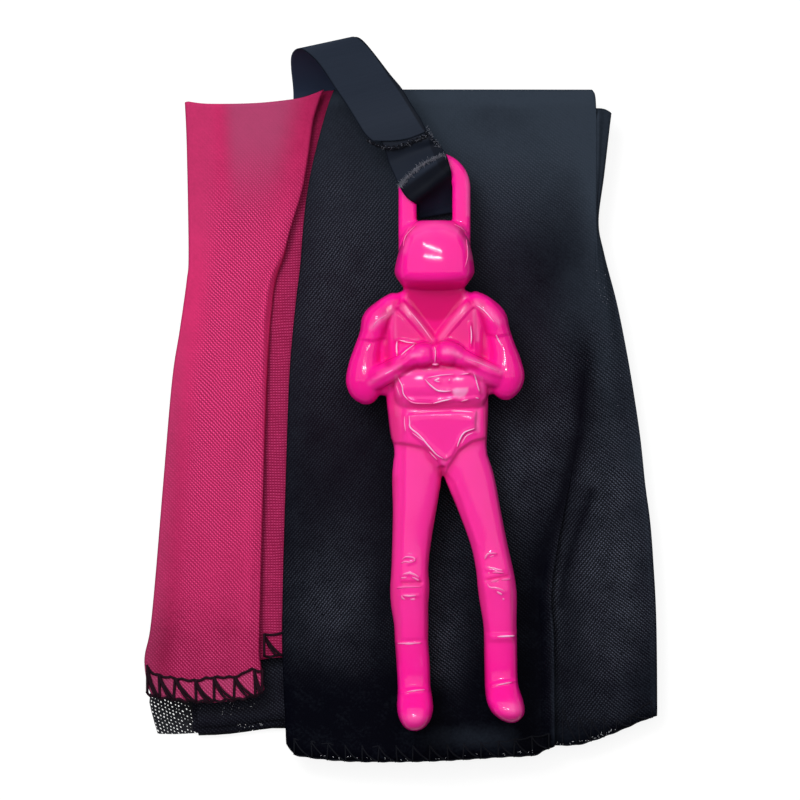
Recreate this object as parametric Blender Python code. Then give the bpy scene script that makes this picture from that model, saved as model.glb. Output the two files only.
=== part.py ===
"""A toy parachute: the canopy folded flat, a moulded figure on top, and the ribbon between them.

X runs across the folded canopy, Y along it towards the ribbon, Z up off the table.
The origin is on the table, under the middle of the whole.
"""

import math

import bmesh
import bpy
import numpy as np
from mathutils import Matrix, Vector

# Folded canopy
CANOPY_WIDTH = 0.1032
CANOPY_LENGTH = 0.1347
MESH_THICKNESS = 0.00045
CLOTH_THICKNESS = 0.0005
BACK_FOLDS_THICKNESS = 0.0018
MIDDLE_FOLDS_THICKNESS = 0.0022
PANEL_RISE = 0.0009
RIDGE_RISE = 0.0007
FLAP_RISE = 0.0011
SIDE_RISE = 0.0006
EDGE_ROUND = 0.0035
EDGE_DROP = 0.0008
LAY_CLEARANCE = 0.0003

# Hem stitching
THREAD_DIAMETER = 0.0004
STITCH_LEAN = 0.0008
WIDE_STITCH_DEPTH = 0.0046
WIDE_STITCH_PITCH = 0.0038
FINE_STITCH_DEPTH = 0.0030
FINE_STITCH_PITCH = 0.0024
HEM_MARGIN = 0.0003

# Ribbon
RIBBON_WIDTH = 0.010
RIBBON_THICKNESS = 0.0005
LOOP_RIBBON_WIDTH = 0.0040
ARCH_REACH = 0.0103
ARCH_HEIGHT = 0.0038
TACK_WIDTH = 0.0076
TACK_LENGTH = 0.0022
TACK_PITCH = 0.0011
LOOP_END_RADIUS = 0.0010
LOOP_HEAD_CLEARANCE = 0.0024
CREST_GAP = 0.0003

# Figure
FIGURE_LENGTH = 0.1155
FIGURE_WIDTH = 0.0358
FIGURE_DEPTH = 0.0135
FIGURE_OFFSET = 0.0070
FIGURE_SETBACK = 0.0128
FIGURE_CLEARANCE = 0.0005
EYELET_BAR = 0.0036
EYELET_DEPTH = 0.0030
EYELET_WIDTH_SHARE = 0.402
EYELET_FOOT_SHARE = 0.180
EYELET_PLANE = 0.0056
PLATE_RISE = 0.0007
PLATE_BEVEL = 0.0004
LOOP_CLEARANCE = 0.0007

# Levels of the folds, from the table up
BACK_LEVEL = MESH_THICKNESS + LAY_CLEARANCE
INNER_LEVEL = BACK_LEVEL + BACK_FOLDS_THICKNESS + LAY_CLEARANCE
PINK_LEVEL = INNER_LEVEL + RIBBON_THICKNESS + THREAD_DIAMETER + 2 * LAY_CLEARANCE
FLAP_LEVEL = PINK_LEVEL + CLOTH_THICKNESS + THREAD_DIAMETER + 2 * LAY_CLEARANCE
PANEL_LEVEL = max(
    INNER_LEVEL + MIDDLE_FOLDS_THICKNESS + LAY_CLEARANCE,
    PINK_LEVEL + CLOTH_THICKNESS + LAY_CLEARANCE,
)
PANEL_TOP = PANEL_LEVEL + EDGE_DROP + PANEL_RISE + CLOTH_THICKNESS

# Places that follow from the sizes
LEFT = -CANOPY_WIDTH / 2
TOP = (CANOPY_LENGTH + ARCH_REACH) / 2 - ARCH_REACH
FIGURE_TOP = TOP - FIGURE_SETBACK
FIGURE_BACK = PANEL_TOP + FIGURE_CLEARANCE
BAR_HEIGHT = FIGURE_BACK + EYELET_PLANE
BAR_LINE = FIGURE_TOP - EYELET_BAR / 2
EYELET_WIDTH = EYELET_WIDTH_SHARE * FIGURE_WIDTH
LOOP_RADIUS = math.hypot(EYELET_BAR, EYELET_DEPTH) / 2 + LOOP_CLEARANCE + RIBBON_THICKNESS / 2
STRIP_LEVEL = BAR_HEIGHT + 2 * RIBBON_THICKNESS + 2 * LAY_CLEARANCE
CREST_HEIGHT = BAR_HEIGHT + ARCH_HEIGHT

# Cloth outlines. Left and right edges: (share of the canopy's length down from its top fold,
# share of its width from the left). Top edges and hems: (share of the width, share of the length)
PINK_LEFT_SHARES = [
    (0.018, 0.086), (0.086, 0.089), (0.242, 0.090), (0.285, 0.086), (0.356, 0.073),
    (0.432, 0.058), (0.581, 0.041), (0.729, 0.025), (0.805, 0.015), (0.848, 0.004),
    (0.892, 0.011), (0.912, 0.016),
]
FLAP_RIGHT_SHARES = [
    (0.000, 0.352), (0.043, 0.333), (0.099, 0.322), (0.151, 0.310), (0.202, 0.289),
    (0.242, 0.271), (0.282, 0.248), (0.328, 0.238), (0.385, 0.234), (0.644, 0.231),
    (0.818, 0.227), (0.854, 0.229), (0.912, 0.240),
]
FLAP_TOP_SHARES = [
    (0.086, 0.018), (0.126, 0.021), (0.219, 0.020), (0.289, 0.015), (0.322, 0.010),
    (0.352, 0.000),
]
FLAP_HEM_SHARES = [
    (0.015, 0.900), (0.046, 0.906), (0.070, 0.909), (0.107, 0.911), (0.134, 0.912),
    (0.169, 0.909), (0.205, 0.905), (0.233, 0.898), (0.240, 0.892),
]
INNER_RIGHT_SHARES = [(0.000, 0.380), (0.300, 0.372), (0.812, 0.330)]
INNER_HEM_SHARES = [(0.008, 0.860), (0.233, 0.854), (0.269, 0.812), (0.330, 0.812)]
PANEL_LEFT_SHARES = [
    (0.000, 0.372), (0.034, 0.356), (0.108, 0.331), (0.163, 0.318), (0.214, 0.311),
    (0.264, 0.306), (0.328, 0.298), (0.432, 0.289), (0.618, 0.283), (0.818, 0.279),
    (1.000, 0.279),
]
PANEL_RIGHT_SHARES = [
    (0.000, 0.874), (0.027, 0.880), (0.174, 0.884), (0.313, 0.886), (0.398, 0.868),
    (0.496, 0.857), (0.588, 0.835), (0.699, 0.804), (0.760, 0.797), (0.818, 0.802),
    (1.000, 0.804),
]
PANEL_HEM_SHARES = [
    (0.279, 0.970), (0.293, 0.987), (0.317, 0.993), (0.391, 0.999), (0.490, 1.000),
    (0.589, 0.998), (0.698, 0.993), (0.758, 0.991), (0.771, 0.983), (0.804, 0.977),
]
SIDE_LEFT_SHARES = [(0.028, 0.771), (1.000, 0.733)]
SIDE_RIGHT_SHARES = [
    (0.028, 0.911), (0.055, 0.907), (0.128, 0.896), (0.196, 0.885), (0.244, 0.896),
    (0.313, 0.920), (0.371, 0.936), (0.439, 0.952), (0.517, 0.967), (0.588, 0.977),
    (0.641, 0.986), (0.699, 0.992), (0.788, 0.998), (0.919, 1.000), (0.960, 0.998),
]
SIDE_HEM_SHARES = [
    (0.733, 0.976), (0.810, 0.976), (0.847, 0.975), (0.883, 0.967), (0.928, 0.954),
    (0.969, 0.940), (1.000, 0.932),
]
BACK_LEFT_SHARES = [(0.026, 0.100), (0.300, 0.100), (0.700, 0.090), (0.950, 0.094)]
BACK_RIGHT_SHARES = [(0.026, 0.872), (0.200, 0.870), (0.600, 0.940), (0.950, 0.960)]
MIDDLE_LEFT_SHARES = [(0.010, 0.402), (0.500, 0.392), (0.980, 0.392)]
MIDDLE_RIGHT_SHARES = [(0.010, 0.750), (0.980, 0.716)]
MESH_LEFT_SHARES = [
    (0.031, 0.112), (0.300, 0.105), (0.700, 0.060), (0.892, 0.014), (0.934, 0.019),
    (0.959, 0.029),
]
MESH_RIGHT_SHARES = [(0.031, 0.860), (0.500, 0.880), (0.950, 0.900)]
MESH_HEM_SHARES = [(0.029, 0.958), (0.095, 0.959), (0.194, 0.955), (0.283, 0.950), (0.900, 0.950)]
FLAP_AXIS_SHARES = ((0.000, 0.079), (0.912, -0.002))

# Rows of stitches along the hems: (first, last) as shares of the canopy's width
FLAP_STITCH_SHARES = (0.024, 0.232)
INNER_STITCH_SHARES = (0.024, 0.262)
PANEL_STITCH_SHARES = (0.300, 0.780)
SIDE_STITCH_SHARES = (0.815, 0.980)

# Hills and valleys of the soft panels: (middle, reach to each side) as shares of a panel's size
PANEL_CROWN_SHARES = (0.45, 0.60)
PANEL_RIDGE_SHARES = (0.97, 0.10)
PANEL_VALLEY_SHARES = (0.86, 0.10)
PANEL_RIDGE_RUN_SHARES = (0.62, 0.45)
FLAP_SWELL_SHARES = (0.72, 0.55)
FLAP_SWELL_RUN_SHARES = (0.42, 0.40)
SIDE_OUTER_SHARES = (0.80, 0.20)
SIDE_INNER_SHARES = (0.30, 0.25)
SIDE_RUN_SHARES = (0.50, 0.48)

# Figure, cut across: (share down its length, middle as a share of its width from the centre
# line, half width as a share of its width, middle and half depth as shares of its depth)
HELMET_SHARES = [
    (0.118, 0.000, 0.084, 0.500, 0.204), (0.121, 0.000, 0.117, 0.504, 0.281),
    (0.130, 0.003, 0.137, 0.511, 0.348), (0.140, 0.003, 0.159, 0.519, 0.400),
    (0.152, 0.003, 0.182, 0.522, 0.441), (0.168, 0.000, 0.196, 0.522, 0.463),
    (0.185, -0.003, 0.212, 0.522, 0.478), (0.199, -0.004, 0.222, 0.515, 0.470),
    (0.209, -0.002, 0.222, 0.504, 0.452), (0.218, -0.003, 0.209, 0.485, 0.419),
    (0.227, -0.006, 0.184, 0.452, 0.348), (0.232, -0.006, 0.173, 0.441, 0.293),
]
NECK_SHARES = [
    (0.215, -0.006, 0.162, 0.459, 0.290), (0.237, -0.006, 0.173, 0.437, 0.259),
    (0.255, -0.003, 0.182, 0.407, 0.230), (0.275, 0.000, 0.173, 0.400, 0.207),
]
TORSO_SHARES = [
    (0.241, 0.000, 0.173, 0.407, 0.170), (0.251, 0.000, 0.240, 0.407, 0.200),
    (0.265, 0.000, 0.285, 0.407, 0.230), (0.289, 0.000, 0.302, 0.415, 0.252),
    (0.332, 0.000, 0.296, 0.422, 0.259), (0.393, 0.011, 0.285, 0.415, 0.252),
    (0.436, 0.015, 0.281, 0.407, 0.244), (0.490, 0.022, 0.265, 0.407, 0.237),
    (0.507, 0.027, 0.264, 0.411, 0.241), (0.528, 0.034, 0.268, 0.407, 0.237),
    (0.545, 0.039, 0.268, 0.404, 0.226), (0.557, 0.042, 0.254, 0.400, 0.193),
]
LEFT_LEG_SHARES = [
    (0.511, -0.095, 0.126, 0.407, 0.222), (0.535, -0.098, 0.136, 0.407, 0.233),
    (0.566, -0.102, 0.138, 0.415, 0.244), (0.618, -0.114, 0.121, 0.415, 0.237),
    (0.679, -0.132, 0.108, 0.415, 0.230), (0.722, -0.141, 0.104, 0.422, 0.230),
    (0.753, -0.141, 0.111, 0.422, 0.244), (0.783, -0.142, 0.106, 0.407, 0.237),
    (0.817, -0.133, 0.097, 0.400, 0.222), (0.840, -0.131, 0.093, 0.400, 0.215),
    (0.847, -0.131, 0.097, 0.400, 0.230), (0.886, -0.122, 0.094, 0.393, 0.230),
    (0.921, -0.117, 0.091, 0.407, 0.244), (0.940, -0.113, 0.097, 0.467, 0.296),
    (0.961, -0.111, 0.102, 0.519, 0.341), (0.980, -0.112, 0.088, 0.548, 0.326),
    (0.994, -0.114, 0.059, 0.556, 0.252), (1.000, -0.115, 0.022, 0.556, 0.119),
]
RIGHT_LEG_SHARES = [
    (0.511, 0.151, 0.126, 0.407, 0.222), (0.535, 0.170, 0.137, 0.407, 0.233),
    (0.566, 0.196, 0.140, 0.415, 0.244), (0.618, 0.246, 0.120, 0.415, 0.237),
    (0.679, 0.302, 0.104, 0.415, 0.230), (0.722, 0.332, 0.106, 0.422, 0.230),
    (0.753, 0.345, 0.109, 0.422, 0.244), (0.777, 0.352, 0.106, 0.407, 0.237),
    (0.812, 0.361, 0.094, 0.400, 0.222), (0.826, 0.363, 0.092, 0.400, 0.215),
    (0.833, 0.365, 0.096, 0.400, 0.230), (0.878, 0.366, 0.093, 0.393, 0.230),
    (0.912, 0.369, 0.093, 0.407, 0.244), (0.930, 0.374, 0.097, 0.467, 0.296),
    (0.950, 0.391, 0.104, 0.519, 0.341), (0.968, 0.408, 0.092, 0.548, 0.326),
    (0.980, 0.419, 0.059, 0.556, 0.252), (0.986, 0.425, 0.022, 0.556, 0.119),
]
LEFT_ARM_SHARES = [
    (0.261, -0.218, 0.056, 0.430, 0.193), (0.274, -0.274, 0.064, 0.437, 0.230),
    (0.293, -0.321, 0.087, 0.444, 0.259), (0.317, -0.349, 0.073, 0.444, 0.244),
    (0.341, -0.374, 0.077, 0.459, 0.244), (0.369, -0.391, 0.092, 0.474, 0.252),
    (0.393, -0.391, 0.108, 0.489, 0.259), (0.414, -0.388, 0.092, 0.489, 0.237),
    (0.428, -0.385, 0.059, 0.489, 0.163), (0.436, -0.385, 0.020, 0.489, 0.067),
]
LEFT_FOREARM_SHARES = [
    (0.400, -0.385, 0.073, 0.548, 0.178), (0.390, -0.318, 0.061, 0.622, 0.185),
    (0.377, -0.240, 0.054, 0.681, 0.170), (0.364, -0.168, 0.046, 0.711, 0.148),
    (0.358, -0.128, 0.044, 0.726, 0.141), (0.353, -0.101, 0.050, 0.733, 0.156),
    (0.349, -0.061, 0.061, 0.741, 0.170), (0.345, -0.022, 0.056, 0.741, 0.156),
    (0.344, -0.003, 0.034, 0.741, 0.096),
]
RIGHT_ARM_SHARES = [
    (0.258, 0.212, 0.056, 0.430, 0.193), (0.270, 0.268, 0.064, 0.437, 0.230),
    (0.289, 0.316, 0.084, 0.444, 0.259), (0.312, 0.346, 0.072, 0.444, 0.244),
    (0.338, 0.372, 0.076, 0.459, 0.244), (0.362, 0.388, 0.091, 0.474, 0.252),
    (0.386, 0.394, 0.106, 0.489, 0.259), (0.407, 0.394, 0.089, 0.489, 0.237),
    (0.421, 0.394, 0.056, 0.489, 0.163), (0.428, 0.394, 0.020, 0.489, 0.067),
]
RIGHT_FOREARM_SHARES = [
    (0.391, 0.385, 0.073, 0.548, 0.178), (0.383, 0.324, 0.061, 0.622, 0.185),
    (0.373, 0.246, 0.054, 0.681, 0.170), (0.364, 0.173, 0.047, 0.711, 0.148),
    (0.360, 0.134, 0.046, 0.726, 0.141), (0.358, 0.112, 0.053, 0.733, 0.156),
    (0.351, 0.073, 0.064, 0.741, 0.170), (0.348, 0.028, 0.056, 0.741, 0.156),
    (0.346, 0.004, 0.034, 0.741, 0.096),
]
BELLY_PACK_SHARES = [
    (0.373, 0.028, 0.212, 0.541, 0.170), (0.377, 0.031, 0.243, 0.600, 0.230),
    (0.386, 0.032, 0.258, 0.630, 0.259), (0.407, 0.030, 0.263, 0.641, 0.270),
    (0.424, 0.032, 0.258, 0.630, 0.259), (0.433, 0.031, 0.243, 0.593, 0.222),
    (0.438, 0.031, 0.209, 0.533, 0.163),
]
BACK_PACK_SHARES = [
    (0.265, 0.006, 0.179, 0.237, 0.133), (0.275, 0.006, 0.218, 0.200, 0.170),
    (0.306, 0.006, 0.235, 0.185, 0.185), (0.428, 0.011, 0.240, 0.185, 0.185),
    (0.462, 0.011, 0.223, 0.200, 0.170), (0.473, 0.011, 0.184, 0.237, 0.133),
]
PLATE_OUTLINE_SHARES = [
    (-0.147, 0.451), (0.231, 0.447), (0.240, 0.476), (0.151, 0.485), (0.089, 0.521),
    (0.059, 0.530), (0.022, 0.525), (-0.128, 0.483), (-0.151, 0.476),
]
PLATE_BASE_SHARE = 0.500
PLATE_FACE_SHARE = 0.648

# How square the figure's sections are: 2 is an ellipse, more is squarer
LIMB_SQUARENESS = 2.3
BODY_SQUARENESS = 3.2
PACK_SQUARENESS = 4.0

# Bridle ribbon from its anchor in the folds, over the arch, to its sewn end. A row is (share
# of the canopy's width from the left, distance down from the top fold as a share of the
# ribbon's width, or up from it as a share of the arch's reach, height as a share of the
# climb from its flat end to the crest, turn of its width in degrees)
BACK_STRIP_SHARES = [
    (0.339, 0.92, 0.00, 0), (0.339, 0.50, 0.00, 0), (0.338, 0.10, 0.00, 0),
    (0.337, -0.14, 0.04, 0), (0.336, -0.38, 0.19, 2), (0.337, -0.60, 0.45, 5),
    (0.342, -0.78, 0.72, 9), (0.350, -0.87, 0.91, 13), (0.359, -0.90, 0.98, 17),
]
FRONT_STRIP_SHARES = [
    (0.359, -0.90, 0.98, 17), (0.371, -0.86, 1.00, 23), (0.390, -0.66, 0.92, 31),
    (0.420, -0.20, 0.62, 34), (0.453, 0.30, 0.26, 35), (0.478, 0.68, 0.04, 35),
    (0.486, 0.80, 0.00, 35), (0.502, 1.04, 0.00, 35),
]
TACK_SHARES = (0.490, 0.86)
TACK_STITCH_SHARES = (0.492, 0.90)
LOOP_END_TURN = 50

# The loop from its sewn end to the eyelet's bar: (share of the way, share of the climb, share
# of the end's turn)
LOOP_WAY_SHARES = [(0.00, 0.00, 1.00), (0.35, 0.02, 0.80), (0.70, 0.50, 0.35)]
LOOP_ARC_START = 50

# Bodies that turn, each with the shapes that ride on it
TURNING = {
    "pink_flap_fold": ("pink_gore_front_flap", "pink_flap_hem_thread"),
    "bridle_fold": ("bridle_front_strip", "bridle_tack_stitches"),
    "loop_swivel": ("eyelet_loop_ribbon",),
    "figure_swing": ("figure",),
}

# Counts
CLOTH_COLUMNS = 14
CLOTH_ROWS = 20
PLAIN_COLUMNS = 6
PLAIN_ROWS = 10
LIMB_SIDES = 16
ARC_STEPS = 10
LOOP_STEPS = 4
THREAD_SIDES_RESOLUTION = 1


def clear_scene():
    for thing in list(bpy.data.objects):
        bpy.data.objects.remove(thing, do_unlink=True)


def make_material(name, colour, roughness):
    material = bpy.data.materials.new(name)
    material.use_nodes = True
    surface = material.node_tree.nodes["Principled BSDF"]
    surface.inputs["Base Color"].default_value = (*colour, 1.0)
    surface.inputs["Roughness"].default_value = roughness
    surface.inputs["Metallic"].default_value = 0.0
    return material


def link_mesh(name, points, faces, material, smooth_angle=40):
    """A mesh object with its faces turned outwards."""
    mesh = bpy.data.meshes.new(name)
    mesh.from_pydata([tuple(point) for point in points], [], faces)
    work = bmesh.new()
    work.from_mesh(mesh)
    bmesh.ops.recalc_face_normals(work, faces=work.faces)
    work.to_mesh(mesh)
    work.free()
    mesh.shade_smooth()
    mesh.set_sharp_from_angle(angle=math.radians(smooth_angle))
    mesh.materials.append(material)
    body = bpy.data.objects.new(name, mesh)
    bpy.context.scene.collection.objects.link(body)
    return body


def ring_skin(rings):
    """Points and faces of rings of equal count joined one to the next, with a cap on each end."""
    sides = len(rings[0])
    points = [point for ring in rings for point in ring]
    faces = []
    for row in range(len(rings) - 1):
        for side in range(sides):
            after = (side + 1) % sides
            first, second = row * sides, (row + 1) * sides
            faces.append((first + side, first + after, second + after, second + side))
    faces.append(tuple(range(sides)))
    faces.append(tuple(range(len(points) - sides, len(points))))
    return points, faces


def read_shares(table, share):
    keys, values = zip(*table)
    return np.interp(share, keys, values)


def cloth_points(left, right, top, hem, columns, rows):
    """X and Y of a grid that fills an outline of four curved sides."""
    across = np.linspace(0, 1, columns + 1)
    down = np.linspace(0, 1, rows + 1)[:, None]
    start = left[0][1] + (right[0][1] - left[0][1]) * across
    top_line = read_shares(top, start) if top else np.full(columns + 1, left[0][0])
    end = left[-1][1] + (right[-1][1] - left[-1][1]) * across
    hem_line = read_shares(hem, end) if hem else np.full(columns + 1, left[-1][0])
    drop = top_line + (hem_line - top_line) * down
    low = read_shares(left, drop)
    high = read_shares(right, drop)
    share = low + (high - low) * across
    return LEFT + share * CANOPY_WIDTH, TOP - drop * CANOPY_LENGTH, across, down


def cloth_solid(name, material, outline, level, thickness, rise, size):
    """A closed fold of cloth: the same grid at two heights, joined round its edge."""
    columns, rows = size
    x, y, across, down = cloth_points(*outline, columns, rows)
    lift = rise(across + 0 * down, down + 0 * across)
    low = np.stack([x, y, level + lift], -1).reshape(-1, 3)
    high = np.stack([x, y, level + lift + thickness], -1).reshape(-1, 3)
    wide = columns + 1
    faces = []
    for row in range(rows):
        for column in range(columns):
            corner = row * wide + column
            cell = (corner, corner + 1, corner + wide + 1, corner + wide)
            faces.append(tuple(reversed(cell)))
            faces.append(tuple(index + len(low) for index in cell))
    edge = list(range(wide))
    edge += [row * wide + columns for row in range(1, rows + 1)]
    edge += [rows * wide + column for column in range(columns - 1, -1, -1)]
    edge += [row * wide for row in range(rows - 1, 0, -1)]
    for here, after in zip(edge, edge[1:] + edge[:1]):
        faces.append((here, after, after + len(low), here + len(low)))
    return link_mesh(name, np.concatenate([low, high]), faces, material)


def flat(across, down):
    return 0 * across


def bump(share, middle, width):
    """A smooth hill one high at the middle share and gone a width to each side of it."""
    reach = np.clip(np.abs(share - middle) / width, 0, 1)
    return 0.5 + 0.5 * np.cos(math.pi * reach)


def edge_lift(share, length):
    """Nothing at both ends of a share, one past the rounded edge."""
    inside = np.clip(np.minimum(share, 1 - share) * length / EDGE_ROUND, 0, 1)
    return np.sin(inside * math.pi / 2)


def panel_rise(across, down):
    """The front panel: rounded edges, a low crown, and a ridge and valley down its right side."""
    rounded = edge_lift(across, CANOPY_WIDTH / 2) * edge_lift(down, CANOPY_LENGTH)
    crown = PANEL_RISE * bump(across, *PANEL_CROWN_SHARES)
    ridge = RIDGE_RISE * (bump(across, *PANEL_RIDGE_SHARES) - bump(across, *PANEL_VALLEY_SHARES))
    ridge = ridge * bump(down, *PANEL_RIDGE_RUN_SHARES)
    return rounded * (EDGE_DROP + np.clip(crown + ridge, 0, PANEL_RISE))


def flap_rise(across, down):
    """The pink flap: a soft swell towards its free edge, flat along its hem."""
    return FLAP_RISE * bump(across, *FLAP_SWELL_SHARES) * bump(down, *FLAP_SWELL_RUN_SHARES)


def side_rise(across, down):
    """The side fold: two soft ridges down it."""
    ridges = bump(across, *SIDE_OUTER_SHARES) + bump(across, *SIDE_INNER_SHARES)
    return SIDE_RISE * ridges * bump(down, *SIDE_RUN_SHARES)


def canopy_folds(materials):
    pink, black, mesh = materials["pink_cloth"], materials["black_cloth"], materials["mesh"]
    plain, formed = (PLAIN_COLUMNS, PLAIN_ROWS), (CLOTH_COLUMNS, CLOTH_ROWS)
    cloth_solid(
        "mesh_gore", mesh, (MESH_LEFT_SHARES, MESH_RIGHT_SHARES, None, MESH_HEM_SHARES),
        0, MESH_THICKNESS, flat, plain,
    )
    cloth_solid(
        "black_gore_back_folds", black, (BACK_LEFT_SHARES, BACK_RIGHT_SHARES, None, None),
        BACK_LEVEL, BACK_FOLDS_THICKNESS, flat, plain,
    )
    cloth_solid(
        "pink_gore_inner_fold", pink,
        (PINK_LEFT_SHARES, INNER_RIGHT_SHARES, FLAP_TOP_SHARES, INNER_HEM_SHARES),
        PINK_LEVEL, CLOTH_THICKNESS, flat, formed,
    )
    cloth_solid(
        "pink_gore_front_flap", pink,
        (PINK_LEFT_SHARES, FLAP_RIGHT_SHARES, FLAP_TOP_SHARES, FLAP_HEM_SHARES),
        FLAP_LEVEL, CLOTH_THICKNESS, flap_rise, formed,
    )
    cloth_solid(
        "black_gore_middle_folds", black, (MIDDLE_LEFT_SHARES, MIDDLE_RIGHT_SHARES, None, None),
        INNER_LEVEL, MIDDLE_FOLDS_THICKNESS, flat, plain,
    )
    cloth_solid(
        "black_gore_side_fold", black,
        (SIDE_LEFT_SHARES, SIDE_RIGHT_SHARES, None, SIDE_HEM_SHARES),
        INNER_LEVEL, CLOTH_THICKNESS, side_rise, formed,
    )
    cloth_solid(
        "black_gore_front_panel", black,
        (PANEL_LEFT_SHARES, PANEL_RIGHT_SHARES, None, PANEL_HEM_SHARES),
        PANEL_LEVEL, CLOTH_THICKNESS, panel_rise, formed,
    )


def tube(name, routes, diameter, material):
    """Round thread along each route of points, its ends capped."""
    curve = bpy.data.curves.new(name, "CURVE")
    curve.dimensions = "3D"
    curve.bevel_depth = diameter / 2
    curve.bevel_resolution = THREAD_SIDES_RESOLUTION
    curve.use_fill_caps = True
    for route in routes:
        line = curve.splines.new("POLY")
        line.points.add(len(route) - 1)
        for point, place in zip(line.points, route):
            point.co = (*place, 1)
    curve.materials.append(material)
    body = bpy.data.objects.new(name, curve)
    bpy.context.scene.collection.objects.link(body)
    return body


def hem_thread(name, hem, span, depth, pitch, level, material):
    """Overlock thread: up and down between the hem's edge and a line a stitch depth above it."""
    first, last = span
    count = max(2, round((last - first) * CANOPY_WIDTH / pitch))
    shares = np.linspace(first, last, count + 1)
    x = LEFT + shares * CANOPY_WIDTH
    foot = TOP - read_shares(hem, shares) * CANOPY_LENGTH + HEM_MARGIN + THREAD_DIAMETER
    height = level + LAY_CLEARANCE + THREAD_DIAMETER / 2
    route = [(x[0], foot[0] + depth, height)]
    for index in range(1, count + 1):
        route.append((x[index] - STITCH_LEAN, foot[index], height))
        route.append((x[index], foot[index] + depth, height))
    return tube(name, [route], THREAD_DIAMETER, material)


def hem_threads(materials):
    thread = materials["thread"]
    hem_thread(
        "pink_flap_hem_thread", FLAP_HEM_SHARES, FLAP_STITCH_SHARES, WIDE_STITCH_DEPTH,
        WIDE_STITCH_PITCH, FLAP_LEVEL + CLOTH_THICKNESS, thread,
    )
    hem_thread(
        "pink_inner_hem_thread", INNER_HEM_SHARES, INNER_STITCH_SHARES, WIDE_STITCH_DEPTH,
        WIDE_STITCH_PITCH, PINK_LEVEL + CLOTH_THICKNESS, thread,
    )
    hem_thread(
        "front_panel_hem_thread", PANEL_HEM_SHARES, PANEL_STITCH_SHARES, FINE_STITCH_DEPTH,
        FINE_STITCH_PITCH, PANEL_LEVEL + EDGE_DROP + CLOTH_THICKNESS, thread,
    )
    hem_thread(
        "side_fold_hem_thread", SIDE_HEM_SHARES, SIDE_STITCH_SHARES, FINE_STITCH_DEPTH,
        FINE_STITCH_PITCH, INNER_LEVEL + CLOTH_THICKNESS, thread,
    )


def limb_rings(rows, power=LIMB_SQUARENESS):
    """Rounded rings square to the line through the rows' middles."""
    places = []
    for down, across, half_width, middle, half_depth in rows:
        places.append((
            FIGURE_OFFSET + across * FIGURE_WIDTH,
            FIGURE_TOP - down * FIGURE_LENGTH,
            FIGURE_BACK + middle * FIGURE_DEPTH,
        ))
    places = np.array(places)
    rings = []
    turns = np.arange(LIMB_SIDES) * 2 * math.pi / LIMB_SIDES
    across_turn = np.sign(np.cos(turns)) * np.abs(np.cos(turns)) ** (2 / power)
    depth_turn = np.sign(np.sin(turns)) * np.abs(np.sin(turns)) ** (2 / power)
    for index, row in enumerate(rows):
        before, after = max(index - 1, 0), min(index + 1, len(rows) - 1)
        along = places[after] - places[before]
        side = np.array([-along[1], along[0], 0]) / math.hypot(along[0], along[1])
        half_width, half_depth = row[2] * FIGURE_WIDTH, row[4] * FIGURE_DEPTH
        ring = places[index] + np.outer(across_turn * half_width, side)
        ring[:, 2] += depth_turn * half_depth
        rings.append(ring)
    return rings


def body_rings(rows, power=BODY_SQUARENESS):
    """Rings cut straight across the figure."""
    rings = []
    turns = np.arange(LIMB_SIDES) * 2 * math.pi / LIMB_SIDES
    for down, across, half_width, middle, half_depth in rows:
        ring = np.empty((LIMB_SIDES, 3))
        cosine, sine = np.cos(turns), np.sin(turns)
        ring[:, 0] = FIGURE_OFFSET + FIGURE_WIDTH * (
            across + half_width * np.sign(cosine) * np.abs(cosine) ** (2 / power)
        )
        ring[:, 1] = FIGURE_TOP - down * FIGURE_LENGTH
        ring[:, 2] = FIGURE_BACK + FIGURE_DEPTH * (
            middle + half_depth * np.sign(sine) * np.abs(sine) ** (2 / power)
        )
        rings.append(ring)
    return rings


def eyelet_rings():
    """The loop over the head: up one side, round the top and down the other."""
    radius = (EYELET_WIDTH - EYELET_BAR) / 2
    arc_line = FIGURE_TOP - EYELET_BAR / 2 - radius
    foot = FIGURE_TOP - EYELET_FOOT_SHARE * FIGURE_LENGTH
    route = [((-radius, foot), (-1.0, 0.0))]
    for step in range(ARC_STEPS + 1):
        turn = math.pi - math.pi * step / ARC_STEPS
        out = (math.cos(turn), math.sin(turn))
        route.append(((radius * out[0], arc_line + radius * out[1]), out))
    route.append(((radius, foot), (1.0, 0.0)))
    turns = np.arange(LIMB_SIDES) * 2 * math.pi / LIMB_SIDES
    rings = []
    for (x, y), (out_x, out_y) in route:
        reach = np.cos(turns) * EYELET_BAR / 2
        ring = np.empty((LIMB_SIDES, 3))
        ring[:, 0] = FIGURE_OFFSET + x + reach * out_x
        ring[:, 1] = y + reach * out_y
        ring[:, 2] = BAR_HEIGHT + np.sin(turns) * EYELET_DEPTH / 2
        rings.append(ring)
    return rings


def plate_rings():
    """The shield-shaped plate on the lower trunk, its face a bevel smaller than its foot."""
    outline = np.array([
        (FIGURE_OFFSET + across * FIGURE_WIDTH, FIGURE_TOP - down * FIGURE_LENGTH)
        for across, down in PLATE_OUTLINE_SHARES
    ])
    middle = outline.mean(axis=0)
    reach = np.linalg.norm(outline - middle, axis=1, keepdims=True)
    inner = middle + (outline - middle) * (1 - PLATE_BEVEL / reach)
    face = FIGURE_BACK + PLATE_FACE_SHARE * FIGURE_DEPTH + PLATE_RISE
    base = FIGURE_BACK + PLATE_BASE_SHARE * FIGURE_DEPTH
    return [
        np.column_stack([points, np.full(len(points), height)])
        for points, height in ((outline, base), (outline, face - PLATE_BEVEL), (inner, face))
    ]


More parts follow.
